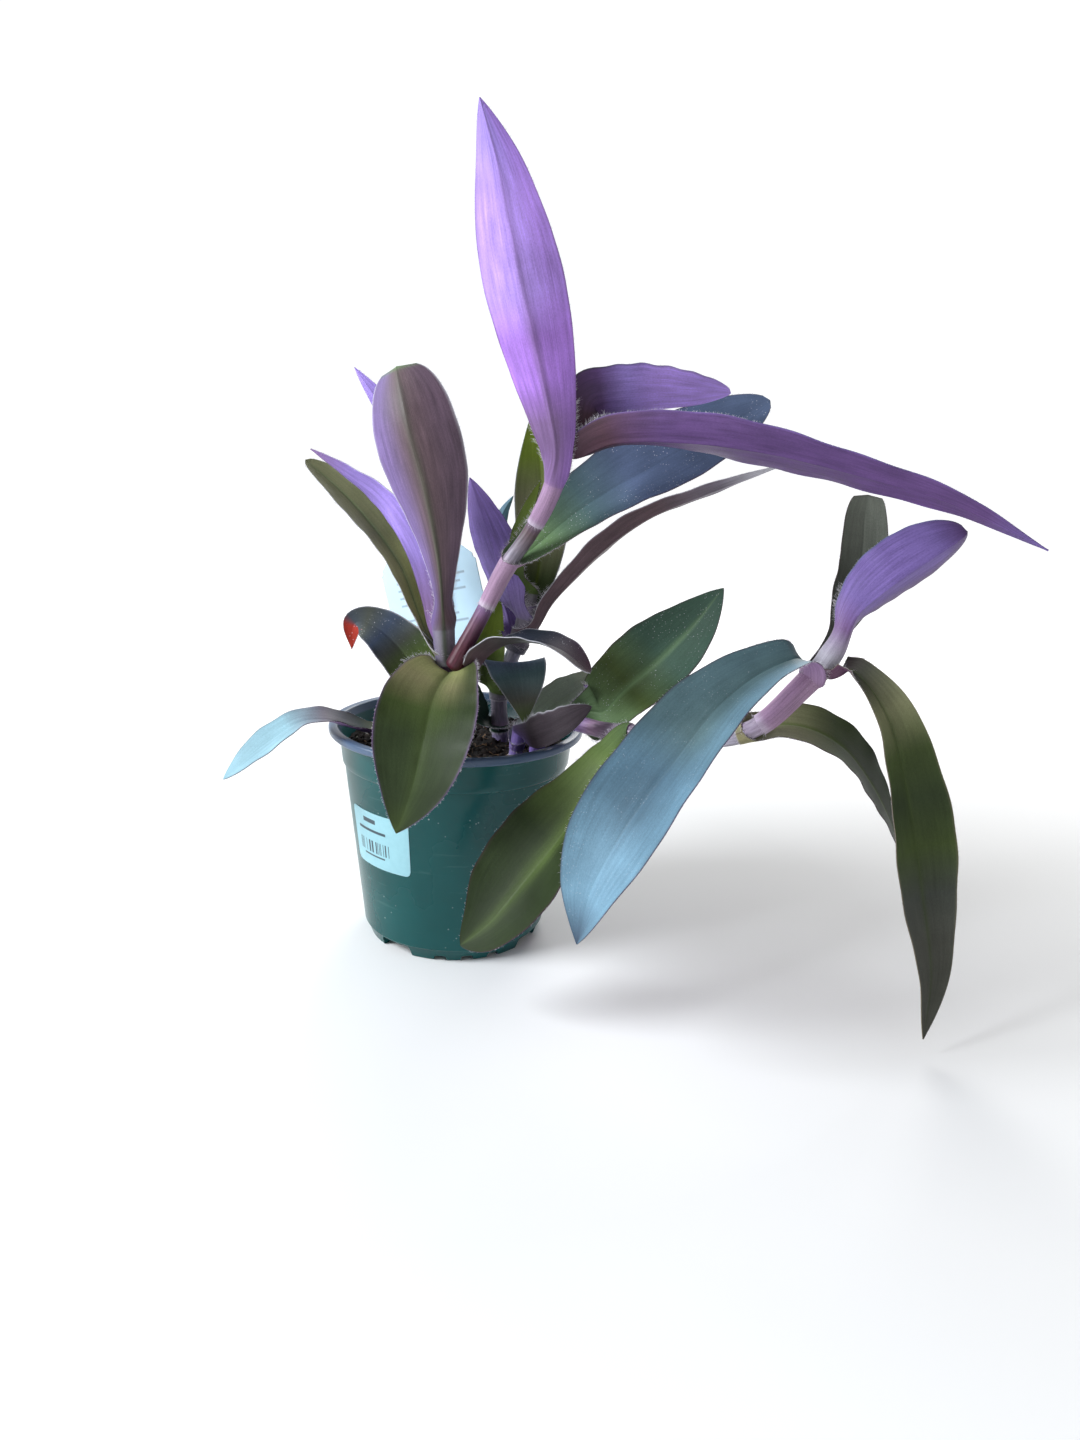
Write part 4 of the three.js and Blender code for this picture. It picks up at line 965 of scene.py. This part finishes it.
def make_leaf(number, leaf):
    """One leaf: a closed thin sheet that starts as a tube round the stem and opens into the blade."""
    tube = sheath_points(leaf)
    shares = leaf.open + (1 - leaf.open) * np.linspace(0, 1, BLADE_ROWS) ** BLADE_ROW_POWER
    leaf.middle = np.concatenate([tube, opening_points(leaf), blade_points(leaf, shares)])
    leaf.upward = unit(np.cross(np.gradient(leaf.middle, axis=1), np.gradient(leaf.middle, axis=0)))
    leaf.mouth_rows = len(tube), len(tube) + OPENING_ROWS
    places = np.concatenate([
        np.linspace(SHEATH_PLACE, 0, len(tube), endpoint=False),
        np.linspace(0, leaf.open, OPENING_ROWS, endpoint=False),
        shares,
    ])[:, None]
    blade = RIB_THICKNESS + (EDGE_THICKNESS - RIB_THICKNESS) * np.abs(COLUMNS) ** 0.7
    sheath = SHEATH_THICKNESS * (0.25 + 0.75 * smooth_step(SHEATH_PLACE, SHEATH_PLACE + 0.05, places))
    thickness = sheath + (blade - sheath) * smooth_step(0, 0.1, places)
    offset = leaf.upward * 0.5 * thickness[..., None]
    points = np.concatenate([leaf.middle + offset, leaf.middle - offset]).reshape(-1, 3)
    rows, columns = leaf.middle.shape[:2]
    faces = sheet_faces(rows, columns)
    is_under = np.arange(len(faces)) >= (rows - 1) * (columns - 1)
    reach = reach_along(leaf.middle[:, columns // 2])[:, None]
    flat = chart(MAP_ACROSS * leaf.width * COLUMNS, MAP_ALONG * reach + MAP_STEP * number)
    tints = np.concatenate([leaf_tints(leaf, face, places) for face in ("upper", "under")])
    materials = [leaf_material("upper", leaf.specks), leaf_material("under", 0)]
    add_piece(leaf.name + "_blade", points, faces, materials, "leaf_" + leaf.look, leaf.name,
              face_materials=is_under, tint=tints, uv=np.concatenate([flat, flat]), sharp=60)


# Hairs

def hairs_along(points, ways, spacing, lengths, forward):
    """Roots and ways of hairs strewn along a line, each a little astray."""
    reach = reach_along(points)
    count = int(reach[-1] / spacing)
    places = random.uniform(0, reach[-1], count)
    slopes = np.gradient(points, axis=0)
    roots, way, along = [read_off(places, values, reach) for values in (points, ways, slopes)]
    way += forward * unit(along) * random.uniform(0.2, 1, (count, 1))
    way += random.normal(0, HAIR_STRAY, (count, 3))
    return roots, unit(way) * random.uniform(*lengths, (count, 1))


def hair_mesh(roots, ways):
    """Thin closed spikes, three-sided, with a bend half way."""
    side = unit(np.cross(ways, random.normal(0, 1, ways.shape)))
    other = unit(np.cross(ways, side))
    lengths = np.linalg.norm(ways, axis=1, keepdims=True)
    droop = side * lengths * random.uniform(0, HAIR_DROOP, (len(ways), 1))
    turns = np.arange(3) * 2 * math.pi / 3
    low = round_about(roots - 0.05 * ways, side, other, HAIR_RADIUS, turns)
    high = round_about(roots + 0.5 * ways + droop, side, other, 0.7 * HAIR_RADIUS, turns)
    points = np.concatenate([low, high, (roots + ways)[:, None]], 1).reshape(-1, 3)
    one = [(0, 2, 1), (3, 4, 6), (4, 5, 6), (5, 3, 6)]
    for k in range(3):
        following = (k + 1) % 3
        one += [(k, following, 3 + following), (k, 3 + following, 3 + k)]
    faces = np.array(one) + 7 * np.arange(len(roots))[:, None, None]
    return points, faces.reshape(-1, 3).tolist()


def make_hairs():
    """Short hairs on every margin and long ones at every sheath's mouth, in one piece for each stem."""
    for name, stem in STEMS.items():
        hairs = []
        for leaf in leaves_of(stem):
            middle = leaf.middle
            low, high = leaf.mouth_rows
            margin, mouth = slice(high, -1), slice(max(low - 2, 0), high + 6)
            spacing = MARGIN_HAIR_SPACING / leaf.hairy
            kinds = [
                (margin, spacing, MARGIN_HAIR_LENGTH, 0.6),
                (mouth, MOUTH_HAIR_SPACING, MOUTH_HAIR_LENGTH, 0.5),
            ]
            for edge, inner in ((0, 1), (-1, -2)):
                line = middle[:, edge]
                out = unit(line - middle[:, inner])
                hairs += [hairs_along(line[part], out[part], *kind) for part, *kind in kinds]
            foot_way = unit(middle[0] - middle[1]) - 0.8 * leaf.upward[0]
            hairs.append(hairs_along(middle[0], foot_way, FOOT_HAIR_SPACING, FOOT_HAIR_LENGTH, 0))
        points, faces = hair_mesh(*[np.concatenate(parts) for parts in zip(*hairs)])
        add_piece("hairs_" + name, points, faces, [hair_material()], "stem", sharp=180)


# Stems

def stem_skin(stem):
    """Rings of a fine tube with shallow ridges, swollen a little at its nodes and rounded at its ends, with
    its colours and its map."""
    length = stem.curve.length
    shares = np.linspace(0, 1, round(length / STEM_RING_SPACING) + 1)
    angles = np.arange(STEM_SIDES) * 2 * math.pi / STEM_SIDES
    tangents = stem.curve.along(shares)
    across = square_to(np.cross([0, 1, 0], tangents), tangents)
    swells = [np.exp(-(((shares - leaf.at) * length / NODE_REACH) ** 2)) for leaf in leaves_of(stem)]
    swell = np.minimum(sum(swells), 1)
    from_end = np.clip(np.minimum(shares, 1 - shares) * length / STEM_END_ROUND, 0.02, 1)
    round_end = np.sqrt(from_end * (2 - from_end))
    bulge = stem.foot_swell * np.exp(-shares * length / FOOT_SWELL_REACH)
    radius = (stem_radius(stem, shares) + bulge) * round_end + NODE_SWELL * swell
    ridges = 0.07 * np.sin(11 * angles) + 0.03 * np.sin(5 * angles + 1)
    radius = radius[:, None] + ridges * round_end[:, None]
    rings = round_about(stem.curve.at(shares), across, np.cross(tangents, across), radius, angles)
    colours = blended(gradient(stem.paints, shares), "rose", 0.4 * swell)
    grain = chart(0.3 * angles, 0.1 * length * shares[:, None])
    return rings, np.repeat(colours, STEM_SIDES, axis=0), grain


def make_stem(name, *parts):
    """One or more stems as one piece."""
    points, colours, grain, faces = [], [], [], []
    for part in parts:
        rings, tint, uv = stem_skin(STEMS[part])
        faces += tube_faces(len(rings), STEM_SIDES, len(points))
        points.extend(rings.reshape(-1, 3))
        colours.extend(tint)
        grain.extend(uv)
    add_piece(name + "_skin", points, faces, [stem_material()], "stem", name, tint=colours, uv=grain,
              sharp=70)


# Pot

def arc(centre, radius, start, end, steps=6):
    """Points of a round corner of an outline, by angles in degrees."""
    turn = np.radians(np.linspace(start, end, steps))
    return [(centre[0] + radius * math.cos(a), centre[1] + radius * math.sin(a)) for a in turn]


def wall_radius(z):
    share = (z - FOOT_HEIGHT) / (COLLAR_FOOT_HEIGHT - FOOT_HEIGHT)
    return WALL_FOOT_RADIUS + share * (WALL_TOP_RADIUS - WALL_FOOT_RADIUS)


def pot_outline():
    """Radius and height of the shell's corners: out along its foot, up the wall, over the lip and down."""
    lip_foot = POT_HEIGHT - LIP_HEIGHT
    r = LIP_ROUND
    return [
        (PAD_RADIUS, 0),
        (PAD_RADIUS + CHANNEL_RISE, CHANNEL_RISE),
        (FOOT_RING_RADIUS - CHANNEL_RISE, CHANNEL_RISE),
        (FOOT_RING_RADIUS, 0.1),
        *arc((FOOT_RADIUS - FOOT_ROUND, FOOT_ROUND), FOOT_ROUND, -90, -10, 5),
        (FOOT_TOP_RADIUS - 0.1, FOOT_HEIGHT - 0.9),
        (FOOT_TOP_RADIUS + 0.25, FOOT_HEIGHT - 0.45),
        *((wall_radius(z), z) for z in np.linspace(FOOT_HEIGHT, COLLAR_FOOT_HEIGHT - 0.4, 8)),
        (COLLAR_FOOT_RADIUS - 0.25, COLLAR_FOOT_HEIGHT),
        (COLLAR_FOOT_RADIUS, COLLAR_FOOT_HEIGHT + 0.45),
        (COLLAR_FOOT_RADIUS + 0.3, COLLAR_FOOT_HEIGHT + 3),
        (COLLAR_TOP_RADIUS, lip_foot - 0.5),
        *arc((COLLAR_TOP_RADIUS + 0.5, lip_foot - 0.5), 0.5, 180, 90, 4),
        *arc((RIM_RADIUS - r, lip_foot + r), r, -90, 0),
        *arc((RIM_RADIUS - r, POT_HEIGHT - r), r, 0, 90),
        *arc((MOUTH_RADIUS + r, POT_HEIGHT - r), r, 90, 180),
        (COLLAR_TOP_RADIUS - POT_WALL, lip_foot),
        (COLLAR_FOOT_RADIUS - POT_WALL, COLLAR_FOOT_HEIGHT + 0.6),
        (WALL_TOP_RADIUS - POT_WALL, COLLAR_FOOT_HEIGHT - 0.5),
        (WALL_FOOT_RADIUS - POT_WALL, FOOT_HEIGHT),
        (FOOT_RADIUS - POT_WALL, FLOOR_TOP),
    ]


def foot_block(angle, width, height):
    """Points of a block with rounded top corners that reaches through the foot's wall, end after end."""
    corner = 0.35 * height
    half = width / 2
    outline = [
        (-half - 0.3, -1),
        *arc((-half + corner, height - corner), corner, 180, 90),
        *arc((half - corner, height - corner), corner, 90, 0),
        (half + 0.3, -1),
    ]
    cos, sin = math.cos(math.radians(angle)), math.sin(math.radians(angle))
    return [(radius * cos - x * sin, radius * sin + x * cos, z)
            for radius in (FOOT_RING_RADIUS - 0.5, RIM_RADIUS) for x, z in outline]


def cut_foot(pot):
    """Cuts the drains and the notches out of the foot, and the same again half a turn on."""
    drains = [(angle, DRAIN_WIDTH, DRAIN_HEIGHT) for angle in DRAIN_ANGLES]
    notches = [(angle, NOTCH_WIDTH, NOTCH_HEIGHT) for angle in NOTCH_ANGLES]
    points, faces = [], []
    for turn in (0, 180):
        for angle, width, height in drains + notches:
            block = foot_block(angle + turn, width, height)
            faces += turned_over(tube_faces(2, len(block) // 2, len(points)))
            points += block
    cutter = add_object("cutter", make_mesh("cutter", points, faces))
    boolean = pot.modifiers.new("cut", "BOOLEAN")
    boolean.operation = "DIFFERENCE"
    boolean.solver = "EXACT"
    boolean.object = cutter
    cut = bpy.data.meshes.new_from_object(pot.evaluated_get(bpy.context.evaluated_depsgraph_get()))
    pot.modifiers.clear()
    pot.data = cut
    smooth(cut, POT_SHARP)
    bpy.data.objects.remove(cutter)


def make_pot():
    outline = pot_outline()
    points = [point for radius, z in outline for point in circle(radius, z, POT_SEGMENTS)]
    faces = tube_faces(len(outline), POT_SEGMENTS)
    cut_foot(add_piece("pot_shell", points, faces, [pot_material()], "pot", "pot", sharp=POT_SHARP))


# Soil

def soil_height(x, y):
    long = math.sin(0.13 * x + 0.6) * math.cos(0.11 * y - 0.4)
    short = math.sin(0.31 * x - 0.27 * y + 1.1)
    rough = noise.fractal(Vector((0.22 * x, 0.22 * y, 1.7)), 1.0, 2.0, 5)
    return SOIL_LEVEL + SOIL_BUMP * (long + 0.5 * short) + SOIL_ROUGH * rough


def soil_place(margin):
    """A random place on the soil, at least as far as that from its edge."""
    radius = (SOIL_RADIUS - margin) * math.sqrt(random.uniform(0, 1))
    angle = random.uniform(0, 2 * math.pi)
    return radius * math.cos(angle), radius * math.sin(angle)


def scattered(count, sizes, sunk, start=0):
    """Lumps of uneven shape set into the soil's top, sunk by a share of their size."""
    shape = bmesh.new()
    bmesh.ops.create_icosphere(shape, subdivisions=2, radius=1)
    ball = np.array([vertex.co[:] for vertex in shape.verts])
    sides = np.array([[vertex.index for vertex in face.verts] for face in shape.faces])
    shape.free()
    points, faces = [], []
    for i in range(count):
        x, y = soil_place(2)
        size = random.uniform(*sizes)
        shift = Vector(random.uniform(0, 50, 3))
        lumpy = np.array([1 + 0.45 * noise.noise(Vector(point) * 1.3 + shift) for point in ball])
        turn = random.uniform(0, 6.28)
        axis = Vector(random.normal(0, 1, 3)).normalized()
        lump = ball * lumpy[:, None] * random.uniform(0.6, 1.2, 3) * size
        lump = lump @ np.array(Matrix.Rotation(turn, 3, axis))
        points.append(lump + (x, y, soil_height(x, y) + size * (0.5 - sunk)))
        faces.append(sides + start + i * len(ball))
    return np.concatenate(points), np.concatenate(faces).tolist()


def make_soil():
    """The filling, with a lumpy top and loose crumbs pressed into it, and the perlite."""
    points = [(x, y, soil_height(x, y)) for radius in np.linspace(0.4, SOIL_RADIUS, SOIL_RINGS)
              for x, y, _ in circle(radius, 0, SOIL_SEGMENTS)]
    for radius, z in SOIL_SIDES:
        points += circle(radius, z, SOIL_SEGMENTS)
    faces = turned_over(tube_faces(SOIL_RINGS + len(SOIL_SIDES), SOIL_SEGMENTS))
    crumbs, crumb_faces = scattered(CRUMBS, CRUMB_SIZES, CRUMB_SUNK, len(points))
    add_piece("soil_filling", np.concatenate([points, crumbs]), faces + crumb_faces, [soil_material()],
              "soil", "soil", sharp=60)
    white = grain_material("soil_perlite", "perlite", 1400, 0.7, 0.3, 0.6, 0.3)
    add_piece("soil_perlite", *scattered(PERLITE, PERLITE_SIZES, PERLITE_SUNK), [white], "soil", sharp=50)


def fibre_line():
    """Points of a fibre that wanders over the soil and stops at its edge."""
    place = np.array(soil_place(6))
    heading = random.uniform(0, 2 * math.pi)
    bend = random.normal(0, 0.25)
    line = []
    for _ in range(FIBRE_STEPS):
        line.append((*place, soil_height(*place) + 0.5 + abs(random.normal(0, 0.25))))
        heading += bend + random.normal(0, 0.15)
        step = place + FIBRE_STEP * np.array([math.cos(heading), math.sin(heading)])
        if np.linalg.norm(step) > SOIL_RADIUS - 1.5:
            break
        place = step
    return line


def make_fibres():
    """Thin roots and bark fibres that lie on the soil."""
    points, faces = [], []
    turns = np.arange(FIBRE_SIDES) * 2 * math.pi / FIBRE_SIDES
    for _ in range(FIBRES):
        line = fibre_line()
        if len(line) < 4:
            continue
        curve = Curve(line, 4)
        along = unit(curve.slopes)
        across = square_to(np.array([0.1, 0.2, 1.0]), along)
        radius = random.uniform(*FIBRE_RADIUS) * (1 - 0.6 * curve.shares)
        rings = round_about(curve.points, across, np.cross(along, across), radius[:, None], turns)
        faces += tube_faces(len(rings), FIBRE_SIDES, len(points))
        points.extend(rings.reshape(-1, 3))
    brown = grain_material("soil_fibre", "fibre", 300, 0.6, 0.35, 0.65, 0.2)
    add_piece("soil_fibres", points, faces, [brown], "soil", sharp=80)


# Sticker and tag

def make_sticker():
    """A thin label that follows the wall, with rounded corners."""
    columns, rows = STICKER_GRID
    middle = (STICKER_BOTTOM + STICKER_TOP) / 2
    tall = STICKER_TOP - middle
    half_turn = STICKER_WIDTH / 2 / wall_radius(middle)
    points, uv = [], []
    for lift in STICKER_LIFTS:
        for share in np.linspace(-1, 1, columns):
            missing = max(0, STICKER_CORNER - (1 - abs(share)) * STICKER_WIDTH / 2)
            short = tall - STICKER_CORNER + math.sqrt(STICKER_CORNER**2 - missing**2)
            angle = math.radians(STICKER_ANGLE) + share * half_turn
            for up in np.linspace(-short, short, rows):
                radius = wall_radius(middle + up) + lift
                points.append((radius * math.cos(angle), radius * math.sin(angle), middle + up))
                uv.append((0.5 + 0.5 * share, 0.5 + 0.5 * up / tall))
    add_piece("price_sticker_card", points, turned_over(sheet_faces(columns, rows)), [sticker_material()],
              "sticker", "price_sticker", uv=uv, sharp=50)


def make_tag():
    """The card with cut top corners on its stake, with softened edges."""
    side, stake = TAG_WIDTH / 2, STAKE_WIDTH / 2
    foot = -TAG_HEIGHT - STAKE_LENGTH
    half_outline = [
        (side - TAG_CORNER, 0), (side, -TAG_CORNER), (side, -TAG_HEIGHT + TAG_CORNER), (stake, -TAG_HEIGHT),
        (stake, foot + STAKE_WIDTH),
    ]
    outline = [(-x, z) for x, z in half_outline] + [(0, foot)] + half_outline[::-1]
    shape = bmesh.new()
    thick = TAG_THICKNESS * MM
    face = shape.faces.new([shape.verts.new((x * MM, 0.5 * thick, z * MM)) for x, z in outline])
    sunk = bmesh.ops.extrude_face_region(shape, geom=[face])
    moved = [part for part in sunk["geom"] if isinstance(part, bmesh.types.BMVert)]
    bmesh.ops.translate(shape, verts=moved, vec=(0, -thick, 0))
    for through, offset, segments in ((True, 1.5, 5), (False, 0.15, 2)):
        edges = [edge for edge in shape.edges
                 if (abs(edge.verts[0].co.y - edge.verts[1].co.y) > 0.5 * thick) == through]
        bmesh.ops.bevel(shape, geom=edges, offset=offset * MM, segments=segments, affect="EDGES")
    bmesh.ops.recalc_face_normals(shape, faces=shape.faces)
    shape.verts.index_update()
    uv = [(0.5 + x / MM / TAG_WIDTH, 1 + z / MM / TAG_HEIGHT) for x, _, z in (v.co for v in shape.verts)]
    faces = [[vertex.index for vertex in face.verts] for face in shape.faces]
    turn = Matrix.Rotation(math.radians(TAG_TURN), 4, "Z") @ Matrix.Rotation(math.radians(TAG_LEAN), 4, "Y")
    shape.transform(Matrix.Translation(Vector(TAG_TOP) * MM) @ turn)
    points = [vertex.co / MM for vertex in shape.verts]
    shape.free()
    add_piece("plant_tag_card", points, faces, [tag_material()], "tag", "plant_tag", uv=uv)


# Stage

def make_camera():
    elevation, roll = math.radians(CAMERA_ELEVATION), math.radians(CAMERA_ROLL)
    camera = add_object("camera", bpy.data.cameras.new("camera"))
    camera.data.lens = CAMERA_LENS
    camera.data.sensor_width = CAMERA_SENSOR
    camera.data.clip_start, camera.data.clip_end = CAMERA_CLIP
    back = Vector((0, -math.cos(elevation), math.sin(elevation)))
    place = Vector(CAMERA_TARGET) + back * CAMERA_DISTANCE
    look = (-back).to_track_quat("-Z", "Y").to_matrix().to_4x4()
    camera.matrix_world = Matrix.Translation(place * MM) @ look @ Matrix.Rotation(roll, 4, "Z")
    bpy.context.scene.camera = camera


def make_light(name, place, size, power, colour):
    data = bpy.data.lights.new(name, "AREA")
    data.shape = "DISK"
    data.size = size * MM
    data.energy = power
    data.color = colour
    light = add_object(name, data)
    light.location = Vector(place) * MM
    light.rotation_euler = (Vector(LIGHT_TARGET) - Vector(place)).to_track_quat("-Z", "Y").to_euler()


def make_floor():
    """A pale floor that glows further out, so that it runs into the surround."""
    surface = Surface("floor", 0.9, Specular_IOR_Level=0.1, Emission_Color=(1, 1, 1, 1))
    dark, light = [(tone, tone, tone, 1) for tone in FLOOR_TONES]
    reach = surface.add("VectorMath", "Value", {0: surface.place}, operation="LENGTH")
    surface.put(surface.spread(reach, *FLOOR_GLOW_FADE), surface.shader.inputs["Emission Strength"])
    material = surface.finish(surface.mix(surface.noise(3, 2.0), dark, light))
    ring = circle(FLOOR_RADIUS, 0, FLOOR_SIDES)
    add_object("floor", make_mesh("floor", ring, [list(range(FLOOR_SIDES))], [material]))


def make_world():
    world = bpy.data.worlds.new("world")
    world.use_nodes = True
    sky = Nodes(world.node_tree)
    way = sky.add("TexCoord", "Generated")
    height = sky.spread(sky.add("SeparateXYZ", "Z", {"Vector": way}), *WORLD_HEIGHT_FADE)
    turn = sky.add("VectorMath", "Value", {0: way, 1: WORLD_SIDE}, operation="DOT_PRODUCT")
    background = sky.nodes["Background"].inputs
    sky.put(sky.times(height, sky.spread(turn, *WORLD_SIDE_FADE)), background["Strength"])
    sky.put(WORLD_COLOUR, background["Color"])
    bpy.context.scene.world = world
    bpy.context.scene.view_settings.view_transform = "Standard"


# The scene

make_camera()
make_floor()
make_world()
for light in LIGHTS:
    make_light(**light)
for leaf in LEAVES:
    lay_out(leaf)
for stem in STEMS.values():
    nest_sheaths(stem)
make_pot()
make_soil()
make_fibres()
make_sticker()
make_tag()
make_stem("stem_left", "left", "branch")
for name in ("middle", "right", "short"):
    make_stem("stem_" + name, name)
for number, leaf in enumerate(LEAVES):
    make_leaf(number, leaf)
make_hairs()
